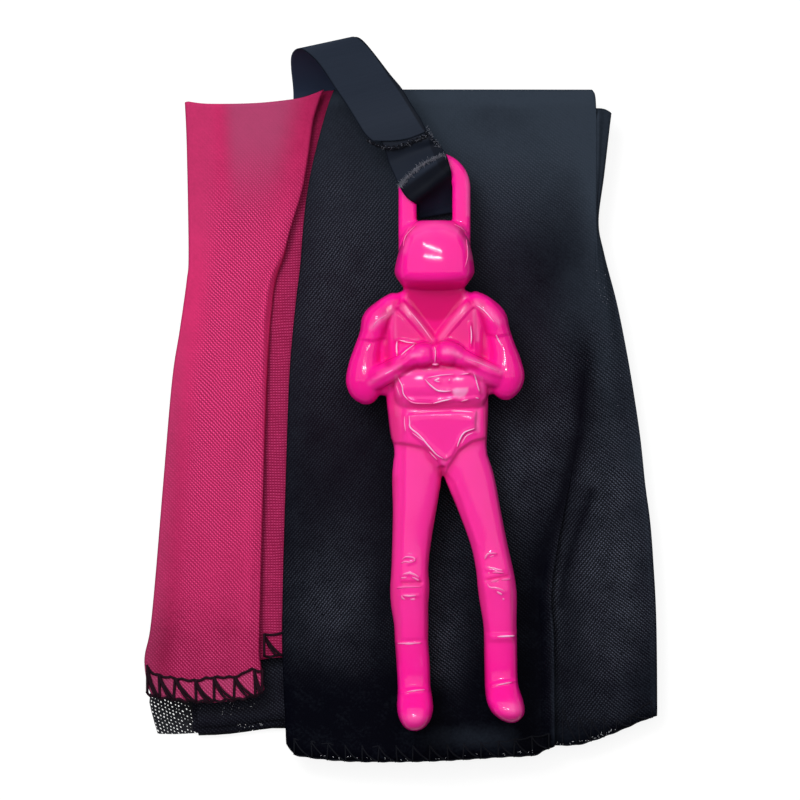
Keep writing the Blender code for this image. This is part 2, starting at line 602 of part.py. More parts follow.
def figure(material):
    """One moulding: its head, trunk, packs, limbs and eyelet joined into one solid."""
    shapes = {
        "figure": body_rings(TORSO_SHARES),
        "neck": body_rings(NECK_SHARES),
        "helmet": body_rings(HELMET_SHARES),
        "belly_pack": body_rings(BELLY_PACK_SHARES, PACK_SQUARENESS),
        "back_pack": body_rings(BACK_PACK_SHARES, PACK_SQUARENESS),
        "left_leg": body_rings(LEFT_LEG_SHARES, LIMB_SQUARENESS),
        "right_leg": body_rings(RIGHT_LEG_SHARES, LIMB_SQUARENESS),
        "left_arm": limb_rings(LEFT_ARM_SHARES),
        "left_forearm": limb_rings(LEFT_FOREARM_SHARES),
        "right_arm": limb_rings(RIGHT_ARM_SHARES),
        "right_forearm": limb_rings(RIGHT_FOREARM_SHARES),
        "eyelet": eyelet_rings(),
        "plate": plate_rings(),
    }
    whole = None
    for name, rings in shapes.items():
        shape = link_mesh(name, *ring_skin(rings), material)
        if whole is None:
            whole = shape
            continue
        shape.hide_render = True
        shape.display_type = "WIRE"
        union = whole.modifiers.new(name, "BOOLEAN")
        union.operation = "UNION"
        union.solver = "EXACT"
        union.use_self = True
        union.object = shape
    return whole


def strip_rings(centres, turns, width, thickness):
    """Flat ribbon rings: a width turned about Z, and a thickness square to it and the route."""
    rings = []
    for index, centre in enumerate(centres):
        before, after = max(index - 1, 0), min(index + 1, len(centres) - 1)
        along = centres[after] - centres[before]
        turn = math.radians(turns[index])
        side = np.array([math.cos(turn), math.sin(turn), 0])
        face = np.cross(side, along)
        face /= np.linalg.norm(face)
        half, skin = side * width / 2, face * thickness / 2
        rings.append(np.array([
            centre - half - skin, centre + half - skin, centre + half + skin, centre - half + skin,
        ]))
    return rings


def ribbon_place(across, down):
    """X and Y of a place on the bridle, from its shares."""
    reach = RIBBON_WIDTH if down > 0 else ARCH_REACH
    return LEFT + across * CANOPY_WIDTH, TOP - down * reach


def ribbon_rings(rows, flat_level):
    centres = np.array([
        (*ribbon_place(across, down), flat_level + height * (CREST_HEIGHT - flat_level))
        for across, down, height, _ in rows
    ])
    turns = [row[3] for row in rows]
    return centres, turns


def zigzag(name, centre, turn, width, length, pitch, level, material):
    """Tack stitches: thread to and fro along the ribbon, side by side across it."""
    count = max(2, round(width / pitch))
    side = Vector((math.cos(turn), math.sin(turn), 0))
    along = Vector((-side.y, side.x, 0))
    middle = Vector((*centre, level + LAY_CLEARANCE + THREAD_DIAMETER / 2))
    route = []
    for index in range(count + 1):
        place = middle + side * width * (index / count - 0.5)
        route.append(place + along * (length / 2 if index % 2 else -length / 2))
    return tube(name, [route], THREAD_DIAMETER, material)


def bridle(materials):
    """The long ribbon, parted at its crest where it folds, and the stitches at both ends."""
    ribbon, thread = materials["ribbon"], materials["thread"]
    anchor_level = INNER_LEVEL + RIBBON_THICKNESS / 2
    centres, turns = ribbon_rings(BACK_STRIP_SHARES, anchor_level)
    centres[-1] -= CREST_GAP * crest_direction(centres)
    rings = strip_rings(centres, turns, RIBBON_WIDTH, RIBBON_THICKNESS)
    link_mesh("bridle_back_strip", *ring_skin(rings), ribbon)
    centres, turns = ribbon_rings(FRONT_STRIP_SHARES, STRIP_LEVEL)
    rings = strip_rings(centres, turns, RIBBON_WIDTH, RIBBON_THICKNESS)
    link_mesh("bridle_front_strip", *ring_skin(rings), ribbon)
    anchor = ribbon_place(*BACK_STRIP_SHARES[1][:2])
    zigzag(
        "bridle_anchor_stitches", anchor, 0, TACK_WIDTH, TACK_LENGTH, TACK_PITCH,
        anchor_level + RIBBON_THICKNESS / 2, thread,
    )
    zigzag(
        "bridle_tack_stitches", ribbon_place(*TACK_STITCH_SHARES), math.radians(turns[-1]),
        TACK_WIDTH, TACK_LENGTH, TACK_PITCH, STRIP_LEVEL + RIBBON_THICKNESS / 2, thread,
    )


def crest_direction(centres):
    along = centres[-1] - centres[-2]
    return along / np.linalg.norm(along)


def eyelet_loop(material):
    """The short ribbon doubled round the eyelet's bar, both of its ends under the bridle's."""
    tack_x, tack_y = ribbon_place(*TACK_SHARES)
    layer = RIBBON_THICKNESS + LAY_CLEARANCE
    head = FIGURE_TOP - HELMET_SHARES[0][0] * FIGURE_LENGTH
    slack = BAR_LINE - head - LOOP_HEAD_CLEARANCE - RIBBON_THICKNESS / 2 - LOOP_END_RADIUS
    tilt = math.asin((LOOP_RADIUS - LOOP_END_RADIUS) / slack)
    start = math.radians(LOOP_ARC_START)
    half = []
    turns = []
    for turn in np.linspace(start, math.pi / 2 + tilt, LOOP_STEPS):
        half.append((
            FIGURE_OFFSET, BAR_LINE + LOOP_RADIUS * math.cos(turn), LOOP_RADIUS * math.sin(turn)
        ))
        turns.append(0)
    for turn in np.linspace(math.pi / 2 + tilt, math.pi, LOOP_STEPS):
        half.append((
            FIGURE_OFFSET, BAR_LINE - slack + LOOP_END_RADIUS * math.cos(turn),
            LOOP_END_RADIUS * math.sin(turn),
        ))
        turns.append(0)
    upper = [np.array([x, y, BAR_HEIGHT + z]) for x, y, z in half]
    lower = [np.array([x, y, BAR_HEIGHT - z]) for x, y, z in half[:-1]][::-1]
    ways = []
    for first, level in ((upper[0], STRIP_LEVEL - layer), (lower[-1], STRIP_LEVEL - 2 * layer)):
        end = np.array([tack_x, tack_y, level])
        ways.append([
            np.array([*(end + (first - end) * way)[:2], level + (first[2] - level) * climb])
            for way, climb, _ in LOOP_WAY_SHARES
        ])
    way_turns = [turn * LOOP_END_TURN for _, _, turn in LOOP_WAY_SHARES]
    centres = np.array(ways[0] + upper + lower + ways[1][::-1])
    turns = way_turns + [0] * (len(upper) + len(lower)) + way_turns[::-1]
    rings = strip_rings(centres, turns, LOOP_RIBBON_WIDTH, RIBBON_THICKNESS)
    link_mesh("eyelet_loop_ribbon", *ring_skin(rings), material)


def joint_axes():
    """Where each body turns: a point on its axis and the axis's direction."""
    (high_down, high_across), (low_down, low_across) = FLAP_AXIS_SHARES
    fold_height = FLAP_LEVEL - LAY_CLEARANCE / 2
    high = Vector((LEFT + high_across * CANOPY_WIDTH, TOP - high_down * CANOPY_LENGTH, fold_height))
    low = Vector((LEFT + low_across * CANOPY_WIDTH, TOP - low_down * CANOPY_LENGTH, fold_height))
    crest, turns = ribbon_rings(FRONT_STRIP_SHARES, STRIP_LEVEL)
    crest_turn = math.radians(turns[0])
    return {
        "pink_flap_fold": (high, (low - high).normalized()),
        "bridle_fold": (
            Vector(crest[0]), Vector((-math.cos(crest_turn), -math.sin(crest_turn), 0))
        ),
        "loop_swivel": (Vector((*ribbon_place(*TACK_SHARES), STRIP_LEVEL)), Vector((0, 0, 1))),
        "figure_swing": (Vector((FIGURE_OFFSET, BAR_LINE, BAR_HEIGHT)), Vector((-1, 0, 0))),
    }


def parent_to_axes():
    """An empty on each joint's axis, its Z along it, carries what turns there."""
    for name, (place, direction) in joint_axes().items():
        empty = bpy.data.objects.new(name + "_axis", None)
        turned = direction.to_track_quat("Z", "Y").to_matrix().to_4x4()
        empty.matrix_basis = Matrix.Translation(place) @ turned
        bpy.context.scene.collection.objects.link(empty)
        for child in TURNING[name]:
            body = bpy.data.objects[child]
            body.parent = empty
            body.matrix_parent_inverse = empty.matrix_basis.inverted()


def build():
    clear_scene()
    materials = {
        "pink_cloth": make_material("pink_cloth", (0.60, 0.045, 0.14), 0.60),
        "black_cloth": make_material("black_cloth", (0.008, 0.008, 0.012), 0.50),
        "mesh": make_material("mesh", (0.010, 0.010, 0.012), 0.70),
        "thread": make_material("thread", (0.010, 0.004, 0.008), 0.60),
        "ribbon": make_material("ribbon", (0.014, 0.020, 0.030), 0.35),
        "figure": make_material("figure", (0.93, 0.03, 0.34), 0.22),
    }
    canopy_folds(materials)
    hem_threads(materials)
    bridle(materials)
    eyelet_loop(materials["ribbon"])
    figure(materials["figure"])
    parent_to_axes()


build()
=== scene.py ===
"""The looks of a toy parachute: its folded canopy, its ribbon and its moulded figure.

Outlines are laid out on a square sheet seen from above. A place on it is (right, down), counted
from its top left corner in units of a fifth of a millimetre. Heights are millimetres off the table.
"""

import math

import bpy
import numpy as np
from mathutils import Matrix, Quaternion, Vector


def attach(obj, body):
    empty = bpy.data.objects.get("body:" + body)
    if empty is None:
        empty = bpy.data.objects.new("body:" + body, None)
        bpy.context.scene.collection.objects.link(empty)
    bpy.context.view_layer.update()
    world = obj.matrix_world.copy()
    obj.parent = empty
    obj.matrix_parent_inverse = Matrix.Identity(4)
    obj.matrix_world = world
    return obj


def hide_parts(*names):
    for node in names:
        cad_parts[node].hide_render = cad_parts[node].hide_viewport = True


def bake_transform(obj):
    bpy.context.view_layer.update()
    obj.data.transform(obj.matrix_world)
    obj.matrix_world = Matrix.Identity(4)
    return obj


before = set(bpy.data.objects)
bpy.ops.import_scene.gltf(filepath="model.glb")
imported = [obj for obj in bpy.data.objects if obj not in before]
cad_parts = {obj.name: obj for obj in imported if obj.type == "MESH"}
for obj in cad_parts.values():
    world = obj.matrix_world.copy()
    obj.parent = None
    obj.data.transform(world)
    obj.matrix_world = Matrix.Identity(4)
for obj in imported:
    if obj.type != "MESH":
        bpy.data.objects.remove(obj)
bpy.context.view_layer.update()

MM = 0.001
UNIT = 0.0002
UNIT_MM = 0.2
SHEET_MIDDLE = 400.0
FLOOR_GAP = 1e-4
THREAD_PITCH = 0.00054
CLOTH_THICKNESS = 0.00016
PANEL_THICKNESS = 0.00018
FOLD_THICKNESS = 0.00014
RIBBON_THICKNESS = 0.00022
MESH_PITCHES = (0.00040, 0.00062)
RIBBON_WIDTH = 0.010
RIB_TURNS = 21000.0


# Tools for shapes


def place(right, down, height):
    """Points in metres from sheet places and heights: both counted from the sheet's middle."""
    right, down, height = np.broadcast_arrays(right, down, height)
    return np.stack(
        [(right - SHEET_MIDDLE) * UNIT, (SHEET_MIDDLE - down) * UNIT, height * MM], -1
    )


def flow(rows, count):
    """Rows read at even steps along a smooth curve through them: a Catmull-Rom cubic in each gap."""
    rows = np.asarray(rows, float)
    steps = np.linspace(0, len(rows) - 1, count)
    index = np.minimum(steps.astype(int), len(rows) - 2)
    part = (steps - index)[:, None]
    before, here = rows[np.maximum(index - 1, 0)], rows[index]
    after, beyond = rows[index + 1], rows[np.minimum(index + 2, len(rows) - 1)]
    return here + 0.5 * part * (
        after - before
        + part * (2 * before - 5 * here + 4 * after - beyond + part * (3 * (here - after) + beyond - before))
    )


def read(table, value):
    """The second column of a table at a value of its first, along a smooth curve."""
    fine = flow(sorted(table), 12 * len(table))
    keys = np.maximum.accumulate(fine[:, 0])
    return np.interp(value, keys, fine[:, 1])


def ease(value, low, high):
    """0 below low and 1 above high, with a smooth step between."""
    share = np.clip((value - low) / (high - low), 0, 1)
    return share * share * (3 - 2 * share)


def between(value, start, full, fade, end):
    """1 from full to fade and 0 outside start and end, with smooth steps."""
    return ease(value, start, full) * (1 - ease(value, fade, end))


def hill(value, middle, reach):
    """A bell, one high at its middle and nearly gone at its reach."""
    return np.exp(-2.5 * ((value - middle) / reach) ** 2)


def spot(right, down, middle, reach):
    """A soft round or oval patch, 1 at its middle."""
    return np.exp(-(((right - middle[0]) / reach[0]) ** 2 + ((down - middle[1]) / reach[1]) ** 2))


def away(right, down, line):
    """The distance from each place to a line of points, in sheet units."""
    best = np.full(np.shape(right), np.inf)
    for (x0, y0), (x1, y1) in zip(line, line[1:]):
        dx, dy = x1 - x0, y1 - y0
        along = np.clip(((right - x0) * dx + (down - y0) * dy) / (dx * dx + dy * dy), 0, 1)
        best = np.minimum(best, np.hypot(right - x0 - along * dx, down - y0 - along * dy))
    return best


def ridge(right, down, line, reach):
    """1 on a line of points, and nearly gone at twice the reach on both sides of it."""
    return np.exp(-((away(right, down, line) / reach) ** 2))


def inside(right, down, outline):
    """The distance to an outline: above 0 inside it, below 0 outside."""
    held = np.zeros(np.shape(right), bool)
    for (x0, y0), (x1, y1) in zip(outline, outline[1:] + outline[:1]):
        if y0 != y1:
            crossing = (down < y0) != (down < y1)
            held ^= crossing & (right < x0 + (down - y0) * (x1 - x0) / (y1 - y0))
    edge = away(right, down, outline + outline[:1])
    return np.where(held, edge, -edge)


def new_object(name, data):
    """An object of a mesh, a lamp or a camera, linked into the scene."""
    made = bpy.data.objects.new(name, data)
    bpy.context.scene.collection.objects.link(made)
    return made


def new_mesh(name, points, faces, material):
    """A smooth mesh of one material."""
    mesh = bpy.data.meshes.new(name)
    mesh.from_pydata(np.asarray(points).reshape(-1, 3).tolist(), [], faces)
    mesh.shade_smooth()
    mesh.materials.append(material)
    return mesh


def new_piece(name, points, faces, material, cloth_places):
    """A smooth mesh object. cloth_places gives each point its place on the flat cloth, in metres."""
    mesh = new_mesh(name, points, faces.tolist(), material)
    corners = np.empty(len(mesh.loops), int)
    mesh.loops.foreach_get("vertex_index", corners)
    flat = np.asarray(cloth_places, float).reshape(-1, 2)[corners]
    mesh.uv_layers.new(name="Cloth").uv.foreach_set("vector", flat.ravel())
    return new_object(name, mesh)


def grid_faces(rows, columns, round_columns=False):
    """Four-cornered faces of a grid, its last column joined to its first if it goes round."""
    row, column = np.mgrid[0 : rows - 1, 0 : columns - (0 if round_columns else 1)]
    after = (column + 1) % columns
    corner = row * columns
    quads = [corner + column, corner + after, corner + columns + after, corner + columns + column]
    return np.stack(quads, -1).reshape(-1, 4)


def cloth_lengths(points):
    """Each point's place on the flat cloth: summed steps across its row and down its middle."""
    across = np.linalg.norm(np.diff(points, axis=1), axis=2).cumsum(axis=1)
    across = np.concatenate([np.zeros((len(points), 1)), across], axis=1)
    middle = points[:, points.shape[1] // 2]
    down = np.linalg.norm(np.diff(middle, axis=0), axis=1).cumsum()
    down = np.concatenate([[0.0], down])[:, None]
    return np.stack([across, down + 0 * across], -1)


def level_places(points, turn=0.0):
    """Each point's place on a level cloth, turned about the sheet's middle."""
    across, down = points[..., 0], -points[..., 1]
    cosine, sine = np.cos(turn), np.sin(turn)
    return np.stack([across * cosine - down * sine, across * sine + down * cosine], -1)


def thicken(piece, thickness):
    shell = piece.modifiers.new("cloth_thickness", "SOLIDIFY")
    shell.thickness = thickness
    shell.offset = 0.0


def tubes(routes, radius, sides=6, flatness=1.0):
    """Points and faces of round cords along routes: a circle carried square to each route."""
    all_points, all_faces, count = [], [], 0
    turns = np.arange(sides) * 2 * math.pi / sides
    for route in routes:
        route = np.asarray(route, float)
        along = np.gradient(route, axis=0)
        along /= np.linalg.norm(along, axis=1, keepdims=True) + 1e-12
        side = np.cross(along, (0.0, 0.0, 1.0))
        short = np.linalg.norm(side, axis=1, keepdims=True)
        side = np.where(short > 1e-3, side / np.maximum(short, 1e-9), (1.0, 0.0, 0.0))
        up = np.cross(side, along)
        ring = (
            route[:, None] + np.cos(turns)[None, :, None] * side[:, None] * radius
            + np.sin(turns)[None, :, None] * up[:, None] * radius * flatness
        )
        all_points += [ring.reshape(-1, 3), route[:1], route[-1:]]
        faces = grid_faces(len(route), sides, True)[:, ::-1] + count
        start, end = count + len(route) * sides, count + len(route) * sides + 1
        last = count + (len(route) - 1) * sides
        all_faces += faces.tolist()
        for index in range(sides):
            after = (index + 1) % sides
            all_faces.append([start, count + index, count + after])
            all_faces.append([end, last + after, last + index])
        count = end + 1
    return np.concatenate(all_points), all_faces


def cord_piece(name, routes, radius, material, sides=6, flatness=1.0):
    points, faces = tubes(routes, radius, sides, flatness)
    return new_object(name, new_mesh(name, points, faces, material))


def joined(shapes):
    """The points and faces of several shapes as those of one."""
    all_points, all_faces, count = [], [], 0
    for points, faces in shapes:
        all_points.append(points)
        all_faces += [[index + count for index in face] for face in faces]
        count += len(points)
    return np.concatenate(all_points), all_faces


# Materials

RIBBON_LOW, RIBBON_HIGH = (0.0165, 0.0225, 0.0370), (0.0215, 0.0300, 0.0480)
RIBBON_EDGE = (0.008, 0.011, 0.018)
# The ribbon's painted sheen colour and its painted shade colour
RIBBON_SHEEN = (0.030, 0.043, 0.080)
RIBBON_SHADE = (0.0030, 0.0034, 0.0062)
MESH_LOW, MESH_HIGH = (0.004, 0.004, 0.006), (0.022, 0.024, 0.030)
PLASTIC_LOW, PLASTIC_HIGH = (0.93, 0.006, 0.292), (0.97, 0.009, 0.326)
# The plastic's painted shade colour and its painted highlight colour
PLASTIC_SHADED = (0.62, 0.002, 0.135)
PLASTIC_HIGHLIGHT = (1.0, 0.50, 0.80)


def new_group(name, inputs, outputs):
    """An empty node group with named sockets."""
    group = bpy.data.node_groups.new(name, "ShaderNodeTree")
    for socket, kind, start in inputs:
        made = group.interface.new_socket(socket, in_out="INPUT", socket_type=kind)
        if start is not None:
            made.default_value = start
    for socket, kind in outputs:
        group.interface.new_socket(socket, in_out="OUTPUT", socket_type=kind)
    return group, group.nodes.new("NodeGroupInput"), group.nodes.new("NodeGroupOutput")


def sum_node(tree, operation, first, second=None, third=None, clamp=False):
    """A Math node's output: each value is a socket or a number."""
    node = tree.nodes.new("ShaderNodeMath")
    node.operation = operation
    node.use_clamp = clamp
    for index, value in enumerate((first, second, third)):
        if value is None:
            continue
        if isinstance(value, (int, float)):
            node.inputs[index].default_value = value
        else:
            tree.links.new(value, node.inputs[index])
    return node.outputs[0]


def mix_colours(tree, share, first, second):
    node = tree.nodes.new("ShaderNodeMix")
    node.data_type = "RGBA"
    for socket, value in ((node.inputs["Factor"], share), (node.inputs[6], first), (node.inputs[7], second)):
        if isinstance(value, tuple):
            socket.default_value = (*value, 1.0)
        elif isinstance(value, (int, float)):
            socket.default_value = value
        else:
            tree.links.new(value, socket)
    return node.outputs[2]


def noise(tree, vector, scale, detail=2.0, roughness=0.5):
    node = tree.nodes.new("ShaderNodeTexNoise")
    node.inputs["Scale"].default_value = scale
    node.inputs["Detail"].default_value = detail
    node.inputs["Roughness"].default_value = roughness
    tree.links.new(vector, node.inputs["Vector"])
    return node.outputs["Fac"]


def weave_group():
    """Cloth seen close: two families of slanting thread tops, square to each other and drifting a
    little. A mask says which family stands out, and the other one cuts it into dashes."""
    group, given, put = new_group(
        "woven_threads",
        [("Vector", "NodeSocketVector", None), ("Threads", "NodeSocketFloat", 2500.0),
         ("Turn", "NodeSocketFloat", 0.0), ("Mask", "NodeSocketFloat", 0.5)],
        [("Height", "NodeSocketFloat"), ("Slub", "NodeSocketFloat")],
    )
    turn = group.nodes.new("ShaderNodeVectorRotate")
    turn.rotation_type = "Z_AXIS"
    group.links.new(given.outputs["Vector"], turn.inputs["Vector"])
    group.links.new(given.outputs["Turn"], turn.inputs["Angle"])
    parts = group.nodes.new("ShaderNodeSeparateXYZ")
    group.links.new(turn.outputs[0], parts.inputs[0])
    sway = sum_node(group, "SUBTRACT", noise(group, given.outputs["Vector"], 45.0, 2.0), 0.5)
    jitter = sum_node(group, "SUBTRACT", noise(group, given.outputs["Vector"], 520.0, 2.0), 0.5)
    waves = []
    for axis, drift in ((0, 26.0), (1, -19.0)):
        step = sum_node(group, "MULTIPLY", parts.outputs[axis], given.outputs["Threads"])
        step = sum_node(group, "ADD", step, sum_node(group, "MULTIPLY", sway, drift))
        step = sum_node(group, "ADD", step, sum_node(group, "MULTIPLY", jitter, 4.0))
        waves.append(sum_node(group, "SINE", step))
    families = []
    for main, other in (waves, waves[::-1]):
        cut = sum_node(group, "MULTIPLY_ADD", other, 0.46, 0.54)
        families.append(sum_node(group, "MULTIPLY", main, cut))
    second = sum_node(group, "MULTIPLY", families[1], given.outputs["Mask"])
    first = sum_node(group, "MULTIPLY", families[0], sum_node(group, "SUBTRACT", 1.0, given.outputs["Mask"]))
    height = sum_node(group, "MULTIPLY_ADD", sum_node(group, "ADD", first, second), 0.5, 0.5)
    group.links.new(height, put.inputs["Height"])
    long_thread = group.nodes.new("ShaderNodeMapping")
    long_thread.inputs["Scale"].default_value = (1.0, 0.05, 1.0)
    group.links.new(turn.outputs[0], long_thread.inputs["Vector"])
    group.links.new(noise(group, long_thread.outputs[0], 1500.0, 3.0), put.inputs["Slub"])
    return group


def start_material(name, roughness, specular=0.5):
    material = bpy.data.materials.new(name)
    material.use_nodes = True
    tree = material.node_tree
    surface = tree.nodes["Principled BSDF"]
    surface.inputs["Roughness"].default_value = roughness
    surface.inputs["Specular IOR Level"].default_value = specular
    where = tree.nodes.new("ShaderNodeTexCoord")
    return material, tree, surface, where


def bump_into(tree, surface, height, strength, distance):
    node = tree.nodes.new("ShaderNodeBump")
    node.inputs["Strength"].default_value = strength
    node.inputs["Distance"].default_value = distance
    tree.links.new(height, node.inputs["Height"])
    tree.links.new(node.outputs["Normal"], surface.inputs["Normal"])


def field(tree, name):
    """A number painted on a piece's points."""
    node = tree.nodes.new("ShaderNodeAttribute")
    node.attribute_name = name
    return node.outputs["Fac"]


def cloth_material(name, low, high, veil, gap, thread_glint, pitch, turn, gap_share, dot_share, broken_share, bump):
    """Thin woven cloth. Three painted numbers shade it: its tone from low to high, which carries painted
    light and shade with low the shaded colour and high the lit one, a veil of a second colour, and how
    far its threads stand out as dark gaps and light dots, the light dots being painted glints on the
    thread tops."""
    material, tree, surface, where = start_material(name, 0.6, 0.02)
    weave = tree.nodes.new("ShaderNodeGroup")
    weave.node_tree = bpy.data.node_groups["woven_threads"]
    weave.inputs["Threads"].default_value = 2 * math.pi / pitch
    weave.inputs["Turn"].default_value = turn
    tree.links.new(where.outputs["UV"], weave.inputs["Vector"])
    tree.links.new(field(tree, "lean"), weave.inputs["Mask"])
    grain = sum_node(tree, "MULTIPLY_ADD", noise(tree, where.outputs["UV"], 260.0, 3.0), 0.24, -0.12)
    slub = sum_node(tree, "MULTIPLY_ADD", weave.outputs["Slub"], 0.10, -0.05)
    fine = sum_node(tree, "SUBTRACT", noise(tree, where.outputs["UV"], 1700.0, 1.0), 0.5)
    fine_share = sum_node(tree, "MULTIPLY_ADD", field(tree, "weave"), 0.55, 0.22)
    fine = sum_node(tree, "MULTIPLY", fine, fine_share)
    slub = sum_node(tree, "ADD", slub, fine)
    tone = sum_node(tree, "ADD", field(tree, "tone"), sum_node(tree, "ADD", grain, slub), clamp=True)
    # Painted light and shade: the tone runs from the shaded colour low to the lit colour high
    colour = mix_colours(tree, tone, low, high)
    colour = mix_colours(tree, field(tree, "veil"), colour, veil)
    height = weave.outputs["Height"]
    patches = noise(tree, where.outputs["UV"], 150.0, 3.0, 0.6)
    broken = sum_node(tree, "MULTIPLY_ADD", patches, broken_share * 2, 1 - broken_share)
    shown = sum_node(tree, "MULTIPLY", field(tree, "weave"), broken)
    dark = sum_node(tree, "MULTIPLY", sum_node(tree, "SUBTRACT", 1.0, height), gap_share)
    colour = mix_colours(tree, sum_node(tree, "MULTIPLY", dark, shown, clamp=True), colour, gap)
    # Painted glints: the thread tops turn towards the pale glint colour where flecks catch the light
    tops = sum_node(tree, "MULTIPLY", sum_node(tree, "POWER", height, 2.5), dot_share)
    flecks = noise(tree, where.outputs["UV"], 1.1 / pitch, 1.0)
    lit_share = sum_node(
        tree, "MULTIPLY_ADD", flecks, 3.4 * broken_share, 1 - 1.6 * broken_share, clamp=True
    )
    tops = sum_node(tree, "MULTIPLY", tops, lit_share)
    colour = mix_colours(tree, sum_node(tree, "MULTIPLY", tops, shown, clamp=True), colour, thread_glint)
    tree.links.new(colour, surface.inputs["Base Color"])
    bump_into(tree, surface, height, bump, 0.00008)
    return material


def paint(piece, **fields):
    """Writes numbers, one for each point or one for all, on a piece."""
    count = len(piece.data.vertices)
    for name, values in fields.items():
        numbers = np.ravel(values)
        if numbers.size == 1:
            numbers = np.broadcast_to(numbers, count)
        layer = piece.data.attributes.new(name, "FLOAT", "POINT")
        layer.data.foreach_set("value", np.clip(numbers, 0.0, 1.0).astype(np.float32))


def ribbon_material():
    """Satin ribbon: fine ribs along it, a slightly darker woven edge, a painted sheen and painted shade."""
    material, tree, surface, where = start_material("satin_ribbon", 0.5, 0.05)
    parts = tree.nodes.new("ShaderNodeSeparateXYZ")
    tree.links.new(where.outputs["UV"], parts.inputs[0])
    ribs = sum_node(tree, "SINE", sum_node(tree, "MULTIPLY", parts.outputs[1], RIB_TURNS))
    ribs = sum_node(tree, "MULTIPLY_ADD", ribs, 0.5, 0.5)
    stretched = tree.nodes.new("ShaderNodeMapping")
    stretched.inputs["Scale"].default_value = (0.06, 1.0, 1.0)
    tree.links.new(where.outputs["UV"], stretched.inputs["Vector"])
    streaks = noise(tree, stretched.outputs[0], 2600.0, 3.0)
    from_middle = sum_node(tree, "SUBTRACT", parts.outputs[0], RIBBON_WIDTH / 2)
    edge = sum_node(tree, "ABSOLUTE", from_middle)
    edge = sum_node(tree, "MULTIPLY_ADD", edge, 4000.0, -18.6, clamp=True)
    tone = mix_colours(tree, streaks, RIBBON_LOW, RIBBON_HIGH)
    tone = mix_colours(tree, edge, tone, RIBBON_EDGE)
    # Painted sheen where the veil is high, and painted shade where the tone is low
    tone = mix_colours(tree, field(tree, "veil"), tone, RIBBON_SHEEN)
    tone = mix_colours(tree, field(tree, "tone"), RIBBON_SHADE, tone)
    tree.links.new(tone, surface.inputs["Base Color"])
    bump_into(tree, surface, ribs, 0.12, 0.00005)
    return material


def thread_material(name, low, high):
    """Woolly sewing thread: fine strands, each a little lighter or darker."""
    material, tree, surface, where = start_material(name, 0.7, 0.1)
    strands = noise(tree, where.outputs["Object"], 6000.0, 3.0)
    tone = mix_colours(tree, strands, low, high)
    tree.links.new(tone, surface.inputs["Base Color"])
    bump_into(tree, surface, strands, 0.6, 0.0001)
    return material


def fibre_material(name, low, high):
    """Loose fibres, each a little lighter or darker along it."""
    material, tree, surface, where = start_material(name, 0.8, 0.1)
    spread = noise(tree, where.outputs["Object"], 3000.0, 2.0)
    tone = mix_colours(tree, spread, low, high)
    tree.links.new(tone, surface.inputs["Base Color"])
    return material


def mesh_material():
    """Knitted mesh: round holes in two staggered rows, the yarn between them black."""
    material, tree, surface, where = start_material("knitted_mesh", 0.6, 0.1)
    parts = tree.nodes.new("ShaderNodeSeparateXYZ")
    turned = tree.nodes.new("ShaderNodeVectorRotate")
    turned.rotation_type = "Z_AXIS"
    turned.inputs["Angle"].default_value = 0.55
    tree.links.new(where.outputs["UV"], turned.inputs["Vector"])
    tree.links.new(turned.outputs[0], parts.inputs[0])
    sway = sum_node(tree, "SUBTRACT", noise(tree, where.outputs["UV"], 700.0, 1.0), 0.5)
    swayed = sum_node(tree, "MULTIPLY", sway, 3.2)
    waves = []
    for axis, hole_pitch in enumerate(MESH_PITCHES):
        turns = sum_node(tree, "MULTIPLY", parts.outputs[axis], math.pi / hole_pitch)
        waves.append(sum_node(tree, "SINE", sum_node(tree, "ADD", turns, swayed)))
    holes = sum_node(tree, "MULTIPLY", waves[0], waves[1])
    chance = sum_node(tree, "MULTIPLY_ADD", noise(tree, where.outputs["UV"], 1300.0, 1.0), 1.3, -0.65)
    limit = sum_node(tree, "ADD", field(tree, "tone"), chance)
    open_share = sum_node(tree, "GREATER_THAN", holes, limit)
    yarn = sum_node(tree, "SUBTRACT", 1.0, open_share)
    tree.links.new(yarn, surface.inputs["Alpha"])
    grain = noise(tree, where.outputs["UV"], 4000.0)
    tone = mix_colours(tree, grain, MESH_LOW, MESH_HIGH)
    tree.links.new(tone, surface.inputs["Base Color"])
    bump_into(tree, surface, sum_node(tree, "ABSOLUTE", holes), 0.4, 0.0001)
    return material


def plastic_material():
    """Glossy moulded plastic: a deep even pink with the faint ripple of a mould, with painted shade and
    painted highlights mixed into its colour.
    """
    material, tree, surface, where = start_material("glossy_plastic", 0.085, 0.36)
    cloud = noise(tree, where.outputs["Object"], 180.0, 2.0)
    tone = mix_colours(tree, cloud, PLASTIC_LOW, PLASTIC_HIGH)
    # Painted shade, then painted highlights, each from a field painted on the points
    tone = mix_colours(tree, field(tree, "shade"), tone, PLASTIC_SHADED)
    tone = mix_colours(tree, field(tree, "gleam"), tone, PLASTIC_HIGHLIGHT)
    tree.links.new(tone, surface.inputs["Base Color"])
    surface.inputs["Subsurface Weight"].default_value = 0.12
    surface.inputs["Subsurface Radius"].default_value = (1.0, 0.25, 0.5)
    surface.inputs["Subsurface Scale"].default_value = 0.0012
    ripple = noise(tree, where.outputs["Object"], 900.0, 2.0)
    bump_into(tree, surface, ripple, 0.05, 0.0002)
    return material


weave_group()
